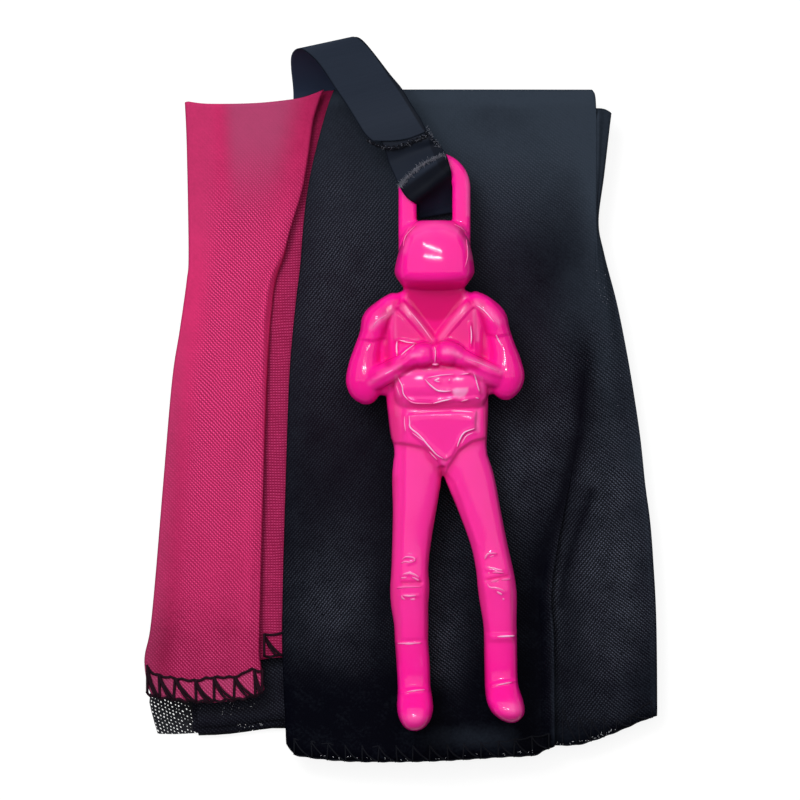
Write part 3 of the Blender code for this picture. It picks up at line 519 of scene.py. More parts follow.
# For each cloth, low and high are its painted shaded and lit colours, and the pale dot colour gives its
# painted glints on thread tops
PINK = cloth_material(
    "pink_cloth",
    low=(0.200, 0.007, 0.042), high=(0.80, 0.036, 0.183), veil=(0.36, 0.070, 0.160),
    gap=(0.24, 0.001, 0.040), thread_glint=(0.97, 0.098, 0.320), pitch=THREAD_PITCH, turn=0.94,
    gap_share=1.25, dot_share=1.15, broken_share=0.5, bump=0.2,
)
BLACK = cloth_material(
    "black_cloth",
    low=(0.0010, 0.0011, 0.0034), high=(0.028, 0.038, 0.054), veil=(0.0135, 0.0050, 0.0130),
    gap=(0.0008, 0.0008, 0.0016), thread_glint=(0.112, 0.124, 0.172), pitch=THREAD_PITCH, turn=0.90,
    gap_share=1.4, dot_share=0.85, broken_share=1.0, bump=0.15,
)
RIBBON = ribbon_material()
THREAD = thread_material("maroon_black_thread", (0.0040, 0.0012, 0.0032), (0.024, 0.006, 0.014))
BLACK_THREAD = thread_material("black_thread", (0.0012, 0.0013, 0.0026), (0.0070, 0.0080, 0.0130))
FIBRE = fibre_material("loose_fibre", (0.040, 0.043, 0.056), (0.28, 0.29, 0.35))
LINT = fibre_material("pale_lint", (0.20, 0.21, 0.23), (0.75, 0.76, 0.80))
MESH = mesh_material()
PLASTIC = plastic_material()


# Canopy outlines: (down, right) for side edges and (right, down) for tops and hems

PINK_LEFT = [
    (101.1, 184.6), (146.9, 186.6), (252, 188.4), (281, 186.4), (328.8, 179.7), (380, 171.9),
    (480.3, 163.2), (580, 154.9), (631.2, 149.7), (660.1, 144.1), (689.8, 147.7), (703.2, 150.3),
]
FLAP_RIGHT = [
    (89, 323.6), (118, 313.8), (155.7, 308.2), (190.7, 302), (225, 291.1), (252, 281.8),
    (278.9, 270), (309.9, 264.8), (348.3, 262.7), (522.7, 261.2), (639.9, 259.1), (664.2, 260.2),
    (703.2, 265.8),
]
FLAP_TOP = [(184.6, 100.6), (207, 103.1), (255, 102.5), (291.1, 99.1), (308.2, 95.7), (323.6, 89)]
FLAP_HEM = [
    (149.7, 695.2), (165.7, 699.2), (178.1, 701.2), (197.2, 702.6), (211.1, 703.2),
    (229.2, 701.2), (247.8, 698.5), (262.2, 693.8), (265.8, 689.8),
]
FLAP_TOP_START, FLAP_TOP_WIDTH = 186.4, 137.2
FLAP_HEM_START, FLAP_HEM_WIDTH = 149.7, 116.1
FLAP_STITCH_LINE = [
    (144, 661.6), (150, 670.6), (159, 675), (174, 677.6), (194, 680), (211, 677), (236, 676),
    (245, 671), (252, 669), (261, 670.5), (266, 666),
]
# How far the flap's rolled edge reaches past it: (down, reach)
EDGE_ROLL = [
    (89, 0), (200, 0), (240, 1.6), (270, 5.2), (318, 6.6), (360, 5.2), (400, 3.8), (470, 2),
    (560, 0.6), (710, 0),
]
INNER_TOP = [(186.4, 103.4), (207, 105), (255, 104.5), (291, 101), (308, 97.5), (322, 91), (338, 89.2)]
INNER_RIGHT = [(89, 338), (291, 334), (635.9, 312.3)]
INNER_HEM = [(146.1, 668.2), (220, 668), (262.2, 660), (280.8, 658), (312.3, 658)]
INNER_TOP_START, INNER_TOP_WIDTH = 186.4, 151.6
INNER_HEM_START, INNER_HEM_WIDTH = 146, 166
PANEL_LEFT = [
    (89, 334), (111.9, 325.7), (161.7, 312.8), (198.8, 306.1), (233.1, 302.5), (266.8, 299.9),
    (309.9, 294.8), (380, 289.0), (505.2, 284.8), (600, 282.3), (650, 282.0), (710, 284.5),
    (762.5, 287),
]
PANEL_HEM = [
    (286, 744.5), (288.5, 751.5), (293.5, 755.0), (305.6, 757.8), (343.8, 761.8), (394.8, 762.5),
    (445.9, 761.2), (502.2, 757.8), (533.1, 756.4), (545, 751), (556.9, 747),
]
PANEL_HEM_START, PANEL_HEM_WIDTH = 286, 271
# The panel's top edge, the step down to the side fold's, and how far that one falls at its right
PANEL_TOP, SIDE_TOP_STEP, SIDE_TOP_FALL = 89, 18.6, 5.0
CREASE = [
    (89, 593), (107.2, 596.1), (206, 596), (299.8, 596), (357, 587), (423, 580), (485, 570),
    (559.8, 557), (600.9, 553.3), (639.9, 555.8), (762.5, 556.9),
]
SIDE_RIGHT = [
    (89, 612), (107.9, 612.1), (126, 610), (175, 604.3), (221, 598.7), (253, 604.3), (299.8, 616.7),
    (338.9, 625), (384.7, 633.2), (437, 641), (485, 646.1), (520.7, 650.8), (559.8, 653.9),
    (619.7, 657), (708, 658), (735.6, 657),
]
SIDE_HEM = [
    (520, 746.3), (560, 746.3), (579, 745.7), (597.6, 740.3), (620.8, 731.5), (642, 722.1),
    (658, 716.7),
]
SIDE_HEM_START, SIDE_HEM_WIDTH = 531, 127


def pink_cloth():
    """One cloth from the inner fold's right edge, left to the fold, round it and back over the top.

    Across a row the place moves along the inner layer, round a half circle at the left edge, and
    along the flap, whose height is a base plus a soft swell and a rolled free edge.
    """
    rows, inner_count, roll_count, flap_count = 150, 36, 9, 60
    down_share = np.linspace(0, 1, rows)[:, None]
    inner_height, flap_height = 4.6, 6.15
    inner_turn, flap_turn = 0.66, 0.17
    roll = (flap_height - inner_height) / 2
    share = np.linspace(1, 0, inner_count)[None]
    top_in = read(INNER_TOP, INNER_TOP_START + share * INNER_TOP_WIDTH)
    hem_in = read(INNER_HEM, INNER_HEM_START + share * INNER_HEM_WIDTH)
    down_in = top_in + (hem_in - top_in) * down_share
    left = read(PINK_LEFT, down_in) + roll / UNIT_MM
    right = read(INNER_RIGHT, down_in)
    x_in = left + (right - left) * share
    z_in = np.full_like(x_in, inner_height) - 0.25 * ease(share, 0.7, 1.0)
    share = np.linspace(0, 1, flap_count)[None]
    top_out = read(FLAP_TOP, FLAP_TOP_START + share * FLAP_TOP_WIDTH)
    hem_out = read(FLAP_HEM, FLAP_HEM_START + share * FLAP_HEM_WIDTH)
    down_out = top_out + (hem_out - top_out) * down_share
    left_out = read(PINK_LEFT, down_out) + roll / UNIT_MM
    rolled = read(EDGE_ROLL, down_out)
    right_out = read(FLAP_RIGHT, down_out) + rolled
    x_out = left_out + (right_out - left_out) * share
    swell = 0.9 * hill(share, 0.66, 0.50) * hill(down_share, 0.40, 0.55)
    swell = swell + 0.35 * hill(share, 0.93, 0.10) * ease(down_share, 0.0, 0.25)
    swell = swell + 0.16 * np.sin(9 * down_share + 5 * share) * share * (1 - down_share)
    swell = swell + 0.10 * np.sin(26 * down_share + 9 * share) * ease(share, 0.1, 0.5)
    z_out = flap_height + swell - 0.22 * ease(share, 0.985, 1.0)
    z_out = z_out - 0.17 * rolled * ease(x_out - right_out + rolled, -0.5, 6.0)
    turn = np.linspace(0, math.pi, roll_count + 2)[None, 1:-1]
    mix = (1 - np.cos(turn)) / 2
    down_roll = down_in[:, -1:] * (1 - mix) + down_out[:, :1] * mix
    x_roll = read(PINK_LEFT, down_roll) + roll / UNIT_MM * (1 - np.sin(turn))
    z_roll = inner_height + roll * (1 - np.cos(turn))
    x = np.concatenate([x_in, x_roll, x_out], 1)
    down = np.concatenate([down_in, down_roll, down_out], 1)
    z = np.concatenate([z_in, z_roll + 0 * x_roll, z_out + 0 * x_out], 1)
    points = place(x, down, z)
    faces = grid_faces(*points.shape[:2])[:, ::-1]
    flap = np.concatenate(
        [np.zeros(inner_count), np.linspace(0, 1, roll_count), np.ones(flap_count)]
    )[None]
    places = level_places(points, inner_turn * (1 - flap) - flap_turn * flap)
    piece = new_piece("pink_gore_cloth", points, faces, PINK, places)
    thicken(piece, CLOTH_THICKNESS)
    pink_shades(piece, x, down, flap)
    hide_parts("pink_gore_inner_fold", "pink_gore_front_flap")
    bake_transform(piece)
    return piece


# A painted pool of light on the flap, and a patch where the threads' painted glints show
FLAP_GLOW = ((235, 400), (45, 190))
FLAP_THREADS = ((240, 330), (36, 90))


def pink_shades(piece, x, down, flap):
    """How the pink cloth's tone, tint and threads change over it. Its tone is partly painted light and
    shade: a painted pool of light on the flap, painted highlights on its rolled edge and rims, and
    painted shade just inside the rim and beside the flap; it is also darker on the inner layer and
    towards the hem. Its threads' light dots are painted glints. flap is 0 on the inner layer, 1 on
    the flap, and between them round the fold."""
    roll_here = read(EDGE_ROLL, down)
    on_flap = flap > 0.5
    right_edge = np.where(flap > 0.99, read(FLAP_RIGHT, down), read(INNER_RIGHT, down))
    from_edge = right_edge - x
    from_fold = x - read(PINK_LEFT, down)
    # Masks, each near 1 where its name says
    below_top = ease(down, 110, 330)
    light_band = between(down, 180, 270, 380, 450)
    lower_half, near_hem = ease(down, 480, 660), ease(down, 590, 650)
    upper_left = (1 - ease(x, 214, 236)) * (1 - ease(down, 200, 380))
    top_left = (1 - ease(x, 205, 228)) * (1 - ease(down, 200, 320))
    # Masks for painted highlights on the flap's rolled edge and on the rims of both layers, and for painted
    # shade beside the flap
    rolled_over = ease(-from_edge, 0.5, 2.5) * ease(roll_here, 0.5, 3.0)
    rim_highlight = hill(from_edge, 1.0, 2.2) * ease(down, 215, 300) * (1 - 0.7 * ease(down, 420, 560))
    inner_rim_highlight = hill(from_edge, 1.5, 2.5) * (1 - ease(down, 200, 300))
    beside_flap = hill(x - read(FLAP_RIGHT, down) - roll_here, 0, 7)
    sewn = ease(down - read(FLAP_STITCH_LINE, x), -1.0, 3.0) * on_flap
    # The tone: painted light and shade, with the inner layer darker and the cloth darker towards the hem
    tone = 0.40 + 0.22 * spot(x, down, *FLAP_GLOW)
    tone = tone + 0.15 * light_band - 0.28 * near_hem - 0.16 * lower_half
    tone = tone + 0.09 * hill(from_edge, 16, 12) * below_top
    tone = tone + 0.34 * rolled_over
    tone = tone + 0.70 * rim_highlight - 0.12 * hill(from_edge, 7.0, 4.0) * below_top
    tone = tone + 0.14 * upper_left
    tone = tone + 0.08 * hill(from_edge, 55, 30) * ease(down, 240, 420)
    inner = 0.03 - 0.06 * beside_flap + 0.22 * inner_rim_highlight
    tone = np.where(on_flap, tone, inner) - 0.17 * sewn
    wedge = 0.16 * (down - 100)
    start, end = 216 + 0.3 * wedge, 280 - 1.4 * wedge
    veil = 0.62 * between(x, start, start + 20, end, end + 32) * (1 - ease(down, 130, 262))
    veil = veil + 0.26 * hill(from_fold, 0, 20) * ease(down, 250, 420)
    veil = veil + 0.16 * top_left
    veil = np.maximum(veil * on_flap, 0.55 * sewn)
    # Where the threads' painted glints show
    shown = ease(from_fold, 8, 36) * ease(down, 130, 255) * (1 - 0.35 * ease(down, 460, 600))
    shown = shown * (1 - 0.8 * ease(-from_edge, 0.0, 2.0))
    shown = shown + 0.12 * spot(x, down, *FLAP_THREADS)
    shown = np.maximum(shown, 0.25 * ease(down, 300, 500))
    shown = np.where(on_flap, shown, 0.50 * ease(down, 100, 240))
    lean = np.where(on_flap, 0.10, 0.04) + 0 * x
    paint(piece, tone=tone, veil=veil, weave=shown, lean=lean)


PLEAT_VALLEY = [
    (590, 280), (586, 330), (581, 430), (562, 503), (546, 552), (537, 600), (536, 660), (538, 740),
]
PLEAT_BEHIND = [(592, 492), (577, 535), (565, 574), (561, 606)]
PLEAT_RIDGE = [(590, 466), (574, 512), (559, 564), (553, 612), (555, 660), (556, 745)]
# How far the pleat turns under, in sheet units
PLEAT_DEPTH = 26
PLEAT_EDGE = [(590, 500), (572, 560), (563, 596)]
PANEL_SWELL = [(520, 120), (500, 330), (540, 470)]
SIDE_SWELL = [(596, 250), (618, 360), (630, 520), (632, 700)]
# Soft patches of tone, which are painted light and shade, and of shown threads: (middle, reach, how much)
PANEL_TONE_SPOTS = [
    ((552, 262), (40, 40), -0.2), ((340, 260), (40, 120), -0.25), ((520, 620), (22, 90), 0.1),
    ((318, 630), (26, 50), -0.22), ((500, 112), (56, 34), -0.34), ((606, 340), (14, 60), 0.18),
    ((565, 200), (30, 40), -0.14), ((337, 215), (25, 70), 0.26), ((577, 290), (26, 40), 0.3),
    ((336, 400), (20, 60), -0.22), ((346, 465), (30, 60), -0.14), ((537, 578), (11, 60), -0.24),
    ((447, 655), (16, 50), 0.02), ((590, 705), (70, 26), 0.08), ((480, 738), (80, 14), 0.36),
    ((490, 112), (60, 24), -0.08), ((437, 600), (9, 70), 0.12), ((588, 490), (45, 120), -0.26),
    ((548, 470), (30, 60), -0.18), ((600, 620), (34, 50), -0.12), ((378, 600), (16, 80), -0.3),
    ((336, 480), (26, 90), -0.14), ((342, 360), (16, 60), -0.22), ((582, 625), (32, 70), -0.36),
    ((525, 450), (24, 60), -0.32), ((372, 520), (34, 110), -0.2), ((450, 575), (10, 60), -0.2),
    ((553, 690), (7, 60), 0.3),
]
SIDE_TONE_SPOTS = [
    ((612, 290), (26, 50), 0.18), ((640, 470), (18, 120), 0.1),
]
# A painted pool of light by the crease
CREASE_GLOW = ((596, 170), (14, 110))
PANEL_WEAVE_SPOTS = [
    ((340, 600), (46, 66), 0.6), ((352, 205), (44, 70), 0.26), ((330, 330), (34, 80), 0.4),
    ((450, 560), (20, 60), 0.3), ((436, 650), (16, 60), 0.5), ((470, 205), (70, 60), 0.24),
    ((545, 170), (40, 40), 0.1), ((556, 400), (26, 70), 0.32), ((530, 460), (34, 60), 0.5),
    ((470, 470), (30, 50), 0.3), ((610, 330), (22, 70), 0.25), ((385, 270), (30, 60), 0.3),
    ((612, 500), (30, 70), 0.4), ((618, 590), (34, 60), 0.55), ((606, 655), (34, 34), 0.45),
    ((556, 590), (7, 60), 0.55), ((448, 655), (16, 44), 0.55), ((604, 470), (36, 90), 0.3),
    ((596, 590), (40, 90), 0.3), ((500, 470), (26, 90), 0.35), ((590, 706), (60, 24), 0.35),
    ((335, 230), (30, 80), 0.25), ((540, 200), (50, 50), 0.12),
]
PANEL_VEIL_SPOTS = [
    ((325, 300), (50, 150), 0.45), ((375, 500), (60, 110), 0.1), ((525, 380), (40, 90), 0.4),
    ((470, 250), (60, 60), 0.3),
]
PANEL_SMOOTH_SPOTS = [
    ((560, 262), (46, 46), 0.85), ((380, 612), (14, 70), 0.6), ((586, 630), (26, 50), 0.25),
]


def panel_shades(piece, right, down, beyond):
    """How the front gore's tone, tint and threads change over it. Its tone is painted light and shade:
    lighter towards the top and the right, painted highlights along its top edge, the crease, the
    pleat's ridge and the side fold's edge, painted shade in the pleat's valley, and darker towards
    the hem; its threads' light dots are painted glints. beyond is 1 on the side fold.
    """
    # Masks, each near 1 where its name says
    upper, above_hem = 1 - ease(down, 92, 300), 1 - ease(down, 300, 620)
    lower, near_hem = ease(down, 480, 600), ease(down, 660, 730)
    top_edge_highlight = hill(down, 98, 12)
    side_edge_highlight = hill(read(SIDE_RIGHT, down) - right, 4, 2.6) * ease(down, 420, 520)
    crease_highlight = hill(right, 598.4, 1.6) * between(down, 104, 112, 150, 215)
    beyond_crease = ease(right, 590, 612) * between(down, 222, 250, 430, 500)
    on_side, apart = beyond > 0.5, ease(down, 400, 480) + (1 - ease(down, 214, 224))
    # Painted light on the front: lighter towards its top and right, with a painted highlight along its top
    # edge and a painted pool of light by the crease
    painted_front_light = upper * (0.30 + 0.70 * ease(right, 345, 450))
    painted_front_light = painted_front_light + 0.22 * above_hem + 0.30 * top_edge_highlight
    painted_front_light = painted_front_light + 0.40 * spot(right, down, *CREASE_GLOW)
    # Painted light on the side fold, lighter high up, with a painted highlight by its edge
    side = 0.42 * (1 - ease(down, 330, 640)) + 0.12
    for middle, reach, more in SIDE_TONE_SPOTS:
        side = side + more * spot(right, down, middle, reach)
    side = side + 0.22 * side_edge_highlight
    tone = painted_front_light + (side - painted_front_light) * beyond * apart
    # A painted highlight along the crease
    tone = tone + 0.30 * crease_highlight
    # Painted shade in the pleat's valley, and painted highlights along its ridge and edge
    valley = ridge(right, down, PLEAT_VALLEY, 9 + 6 * lower) * ease(down, 310, 400)
    valley = np.maximum(valley, 0.8 * ridge(right, down, PLEAT_BEHIND, 5))
    tone = tone - 0.50 * valley
    tone = tone + 0.20 * beyond_crease
    ridge_highlight = ridge(right, down, PLEAT_RIDGE, 4.5) * (beyond < 0.5)
    tone = tone + 0.62 * ridge_highlight * ease(down, 450, 520) * (1 - 0.70 * ease(down, 600, 680))
    tone = tone + 0.25 * ridge(right, down, PLEAT_EDGE, 1.5) * on_side
    tone = tone - 0.10 * near_hem
    # More patches of painted light and shade
    for middle, reach, more in PANEL_TONE_SPOTS:
        tone = tone + more * spot(right, down, middle, reach)
    veil = np.zeros_like(right)
    for middle, reach, more in PANEL_VEIL_SPOTS:
        veil = veil + more * spot(right, down, middle, reach)
    veil = veil * (1 - ease(down, 560, 650))
    shown = 0.16 * between(down, 150, 280, 620, 690)
    for middle, reach, more in PANEL_WEAVE_SPOTS:
        shown = shown + more * spot(right, down, middle, reach)
    for middle, reach, less in PANEL_SMOOTH_SPOTS:
        shown = shown * (1 - less * spot(right, down, middle, reach))
    right_of_figure = ease(right, 440, 480) * (1 - ease(down, 716, 740))
    fade = ease(down, 664, 700) * (1 - 0.9 * right_of_figure)
    shown = shown * (1 - fade) * (1 - 0.9 * valley)
    lean = 0.88 - 0.76 * ease(right + 0.15 * down, 430, 520)
    lean = lean + 0.7 * on_side * ease(down, 420, 500) * (1 - ease(right, 590, 620))
    paint(piece, tone=tone, veil=veil, weave=shown, lean=lean)


def black_panel():
    """The front black gore, with the pleat that turns its right side under.

    Across a row the place runs to the crease, turns back under it by the pleat's depth, and runs
    out again at a lower level. High up the pleat has no depth and is only a soft valley.
    """
    rows = columns = 190
    down_share = np.linspace(0, 1, rows)[:, None]
    across = np.linspace(0, 1, columns)[None]
    main_end, turn_end = 0.62, 0.74
    main = np.clip(across / main_end, 0, 1)
    back = np.clip((across - main_end) / (turn_end - main_end), 0, 1)
    out = np.clip((across - turn_end) / (1 - turn_end), 0, 1)
    step_down = SIDE_TOP_STEP * ease(across, main_end - 0.002, main_end + 0.02)
    top = PANEL_TOP + step_down + SIDE_TOP_FALL * out**3
    hem_main = read(PANEL_HEM, PANEL_HEM_START + main * PANEL_HEM_WIDTH)
    hem_out = read(SIDE_HEM, SIDE_HEM_START + out * SIDE_HEM_WIDTH)
    hem = np.where(across < turn_end, hem_main, hem_out)
    down = top + (hem - top) * down_share
    left = read(PANEL_LEFT, down)
    crease = read(CREASE, down)
    right = read(SIDE_RIGHT, down)
    turned = ease(down, 450, 620)
    depth = PLEAT_DEPTH * turned
    x = left + (crease - left) * main
    x = x - depth * back * (across > main_end)
    x = np.where(across > turn_end, crease - depth + (right - crease + depth) * out, x)
    high = 6.5 + 1.0 * hill(main, 0.45, 0.55)
    high = high + 0.75 * ridge(x, down, PLEAT_RIDGE, 7) * ease(down, 440, 540)
    high = high - 0.9 * ridge(x, down, PLEAT_VALLEY, 15) * ease(down, 250, 380)
    high = high - 0.7 * (1 - ease(main, 0.0, 0.035))
    high = high + 0.22 * np.sin(7 * main + 3 * down_share) * down_share
    high = high + 0.35 * ridge(x, down, PANEL_SWELL, 22)
    high = high - 0.30 * spot(x, down, (546, 264), (40, 40))
    high = high + 0.16 * hill(main, 0.20, 0.10) * ease(down, 300, 700)
    edge_high = high[:, int(main_end * (columns - 1))][:, None]
    low = edge_high - 0.04 - 1.9 * turned + 0.3 * hill(out, 0.35, 0.30) * turned
    low = low - (1.6 * ease(down, 90, 420) + 0.3) * ease(out, 0.15, 1.0) * (1 - 0.7 * turned)
    low = low + 0.22 * np.sin(9 * out + 8 * down_share) * out
    low = low + 0.45 * ridge(x, down, SIDE_SWELL, 11)
    z = np.where(across < main_end, high, edge_high + (low - edge_high) * ease(back, 0.0, 1.0))
    z = np.where(across > turn_end, low, z)
    z = z + 0.07 * np.sin(0.72 * x + 2 * np.sin(0.11 * x)) * ease(down_share, 0.93, 0.985)
    z = z - 0.8 * ease(down_share, 0.985, 1.0) - 0.9 * (1 - ease(down_share, 0.0, 0.02))
    blur = np.stack([x + 0 * down, down + 0 * x, z + 0 * x], -1)
    soft = 0.25 * ease(down_share, 0.02, 0.16)[..., None]
    for _ in range(5):
        blur[:, 1:-1] += soft * (blur[:, :-2] + blur[:, 2:] - 2 * blur[:, 1:-1])
    points = place(blur[..., 0], blur[..., 1], blur[..., 2])
    faces = grid_faces(rows, columns)[:, ::-1]
    piece = new_piece("black_gore_panel", points, faces, BLACK, level_places(points))
    panel_shades(piece, blur[..., 0], blur[..., 1], (across > turn_end) + 0 * x)
    thicken(piece, PANEL_THICKNESS)
    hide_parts("black_gore_front_panel", "black_gore_side_fold")
    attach(piece, "canopy")
    return piece


def stacked_folds(
    name, node, left, right, top, hem, low, high, layers, material, thickness, step, climb=0
):
    """A cloth folded to and fro: each layer runs from edge to edge, with a half circle between.
    Its hem climbs a little away from its left end."""
    rows, layer_count, turn_count = 60, 26, 5
    down_share = np.linspace(0, 1, rows)[:, None]
    gap = (high - low) / layers
    x_parts, z_parts, d_parts = [], [], []
    across = np.linspace(0, 1, layer_count)[None]
    for layer in range(layers):
        height = low + gap * (layer + 0.5)
        tuck_left = step * abs(math.sin(2.1 * ((layer + 1) // 2)))
        tuck_right = step * abs(math.sin(1.7 * (layer // 2) + 0.4))
        share = across if layer % 2 == 0 else 1 - across
        rise = min(step, 8)
        hem_here = hem - rise * abs(math.sin(2.6 * layer)) - 2.5 + 2.5 * np.sin(5 * share + layer)
        hem_here = hem_here - climb * ease(share, 0.02, 0.24)
        down = top + rise * 0.4 * (layer % 3) + (hem_here - top) * down_share
        low_side, high_side = read(left, down) + tuck_left, read(right, down) - tuck_right
        x = low_side + (high_side - low_side) * share
        x_parts.append(x)
        z_parts.append(height + 0.12 * gap * np.sin(6 * share + 4 * down_share + layer) + 0 * x)
        d_parts.append(down + 0 * x)
    for layer in range(layers - 1):
        turn = np.linspace(0, math.pi, turn_count + 2)[None, 1:-1]
        end = x_parts[2 * layer][:, -1:]
        begin = x_parts[2 * layer + 1][:, :1]
        mix = (1 - np.cos(turn)) / 2
        out = (1 if layer % 2 == 0 else -1) * gap / UNIT_MM / 2 * np.sin(turn)
        x_turn = end * (1 - mix) + begin * mix + out
        z_turn = z_parts[2 * layer][:, -1:] * (1 - mix) + z_parts[2 * layer + 1][:, :1] * mix
        d_turn = d_parts[2 * layer][:, -1:] * (1 - mix) + d_parts[2 * layer + 1][:, :1] * mix
        x_parts.insert(2 * layer + 1, x_turn)
        z_parts.insert(2 * layer + 1, z_turn)
        d_parts.insert(2 * layer + 1, d_turn)
    points = place(np.concatenate(x_parts, 1), np.concatenate(d_parts, 1), np.concatenate(z_parts, 1))
    piece = new_piece(name, points, grid_faces(*points.shape[:2]), material, cloth_lengths(points))
    if thickness:
        thicken(piece, thickness)
        paint(piece, tone=0.16, veil=0.2, weave=0.35, lean=0.3)
    else:
        right = points[..., 0] / UNIT + SHEET_MIDDLE
        closed = 0.72 + 0.16 * ease(right, 164, 196) + 0.12 * ease(right, 190, 210)
        paint(piece, tone=closed)
    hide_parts(node)
    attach(piece, "canopy")
    return piece


# Hem threads


def on_cloth(piece, right, down, lift, reach=0.0011):
    """Places on a finished piece: its greatest height within a reach, plus a lift in millimetres."""
    co = np.empty(len(piece.data.vertices) * 3)
    piece.data.vertices.foreach_get("co", co)
    co = co.reshape(-1, 3)
    flat = place(np.asarray(right, float), np.asarray(down, float), 0.0)
    out = []
    for point in flat.reshape(-1, 3):
        near = np.hypot(co[:, 0] - point[0], co[:, 1] - point[1]) < reach
        height = co[near, 2].max() if near.any() else co[:, 2].max()
        out.append((point[0], point[1], height + lift * MM))
    return np.array(out)


def overlock(
    name, node, cloth, top_line, edge_line, posts, radius, body, material,
    fans=1, lift=0.32, loops=1.1,
):
    """Overlock stitches: a line above the edge, a post down from it at each stitch, a slanting
    thread to the foot of the next post, and loops along the edge."""
    routes = []
    posts = np.asarray(posts, float)
    heads, feet = read(top_line, posts), read(edge_line, posts)
    fine = np.linspace(posts[0] - 0.8, posts[-1] + 0.8, 8 * len(posts))
    dip = 1.6 * np.abs(np.sin((fine - posts[0]) / (posts[1] - posts[0]) * math.pi))
    routes.append(on_cloth(cloth, fine, read(top_line, fine) + dip, lift))
    share = np.linspace(0, 1, 9)
    for index, post in enumerate(posts):
        lean = 1.2 * math.sin(2.3 * index)
        routes.append(on_cloth(
            cloth, post + lean * share, heads[index] + (feet[index] - heads[index]) * share,
            lift + 0.05,
        ))
        if index + 1 < len(posts):
            for fan in range(fans):
                sag = (1.3 + 0.5 * math.sin(5.1 * index)) * np.sin(share * math.pi)
                reach = (posts[index + 1] - post) * (1 - 0.30 * fan)
                foot = feet[index] + (feet[index + 1] - feet[index]) * (1 - 0.30 * fan)
                routes.append(on_cloth(
                    cloth, post + reach * share - sag,
                    heads[index] + 1 + (foot - heads[index] - 1) * share + sag, lift + 0.12 + 0.1 * fan,
                ))
    wave = loops * np.sin((fine - posts[0]) / (posts[1] - posts[0]) * 2 * math.pi)
    routes.append(on_cloth(cloth, fine, read(edge_line, fine) + wave - 0.5, lift - 0.1))
    piece = cord_piece(name, routes, radius * MM, material, 6, 0.75)
    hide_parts(node)
    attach(piece, body)
    return piece


# Ribbons


def ribbon_points(rows, length_steps, width_steps, crumple=0.0, bow=0.0):
    """A strip between two edges: rows hold left (right, down, height) and right (right, down,
    height), the place runs straight from one to the other, and waves of the crumple's height
    cross it."""
    edges = flow(rows, length_steps)
    share = np.linspace(0, 1, width_steps)[None, :, None]
    spots = edges[:, None, :3] * (1 - share) + edges[:, None, 3:] * share
    length_share = np.linspace(0, 1, length_steps)[:, None]
    width_share = np.linspace(0, 1, width_steps)[None]
    wave = np.sin(11 * length_share + 5 * width_share) * np.sin(math.pi * width_share * 2.2 + 0.5)
    wave = wave + 0.5 * np.sin(23 * length_share - 9 * width_share)
    spots[..., 2] += crumple * wave
    ahead = spots[-1:, :, :2] - spots[-6:-5, :, :2]
    ahead = ahead / np.linalg.norm(ahead, axis=2, keepdims=True)
    pull = bow * ease(length_share, 0.88, 1.0) * np.sin(math.pi * width_share)
    spots[..., :2] += ahead * pull[..., None]
    return place(spots[..., 0], spots[..., 1], spots[..., 2])


BRIDLE_ROWS = [
    (291.0, 140, 3.1, 343.0, 140, 3.1), (291.5, 112, 3.1, 343.0, 112, 3.1),
    (293.0, 97, 3.5, 344.0, 93, 3.7), (292.5, 84, 5.6, 345.0, 78, 6.2),
    (291.0, 68, 9.8, 346.0, 60, 11.0), (291.3, 58, 13.2, 346.0, 49, 14.6),
    (294.5, 52, 15.9, 348.0, 41.5, 16.7), (300.0, 50, 16.9, 353.5, 38.3, 17.5),
    (307.0, 53.5, 17.1, 361.5, 40.5, 17.4), (319.0, 65, 16.6, 373.0, 53.0, 16.7),
    (334.8, 88.5, 15.7, 389.7, 74.6, 15.9), (346.3, 105.5, 15.2, 402.4, 90, 15.4),
    (356.5, 122, 15.1, 412.0, 106, 15.3), (364.5, 134.5, 15.3, 420.5, 119, 15.6),
    (372.0, 141.5, 15.4, 426.5, 132.0, 15.7),
]
LOOP_ROWS = [
    (373.0, 128, 14.5, 411.0, 112, 14.6), (380.0, 140, 14.7, 422.5, 127, 15.0),
    (385.0, 151, 15.0, 432.5, 138.5, 15.7), (388.5, 163, 14.7, 438.5, 144, 15.2),
    (394.0, 176, 15.6, 443.5, 151, 15.9), (399.0, 186.5, 16.3, 446.2, 155.5, 16.4),
    (406.0, 197.5, 15.9, 449.0, 164.0, 16.1), (413.5, 203.0, 15.5, 451.0, 173, 15.9),
    (418.8, 206.5, 12.8, 451.7, 188, 13.0), (418.2, 214.0, 9.9, 452.3, 203, 9.9),
    (418.4, 218.0, 8.7, 452.3, 212, 8.6), (418.0, 213.0, 8.3, 452.0, 204, 8.3),
    (414.0, 204.0, 8.6, 450.0, 184, 8.6), (403.0, 188.0, 9.5, 444.5, 158, 9.5),
    (392.0, 166, 11.4, 436.0, 142, 11.4), (383.0, 146, 13.3, 424.0, 132, 13.3),
    (373.0, 128, 14.0, 411.0, 112, 14.1),
]
RIBBON_STEPS = 28


def ribbon_piece(name, rows, nodes, length_steps, crumple, bow, veil, tone):
    """A ribbon along rows. Two (length share, value) tables shade it along its length: a veil of blue,
    which is a painted sheen, and its tone, whose low values are painted shade."""
    points = ribbon_points(rows, length_steps, RIBBON_STEPS, crumple, bow)
    places = cloth_lengths(points)
    places[..., 0] *= RIBBON_WIDTH / places[:, -1:, 0].mean()
    piece = new_piece(name, points, grid_faces(*points.shape[:2])[:, ::-1], RIBBON, places)
    share = np.linspace(0, 1, length_steps)
    veil_here, tone_here = (
        np.repeat(np.interp(share, *np.array(table).T), RIBBON_STEPS) for table in (veil, tone)
    )
    paint(piece, veil=veil_here, tone=tone_here)
    thicken(piece, RIBBON_THICKNESS)
    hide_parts(*nodes)
    span = float(places[-1, 0, 1])
    return piece, span


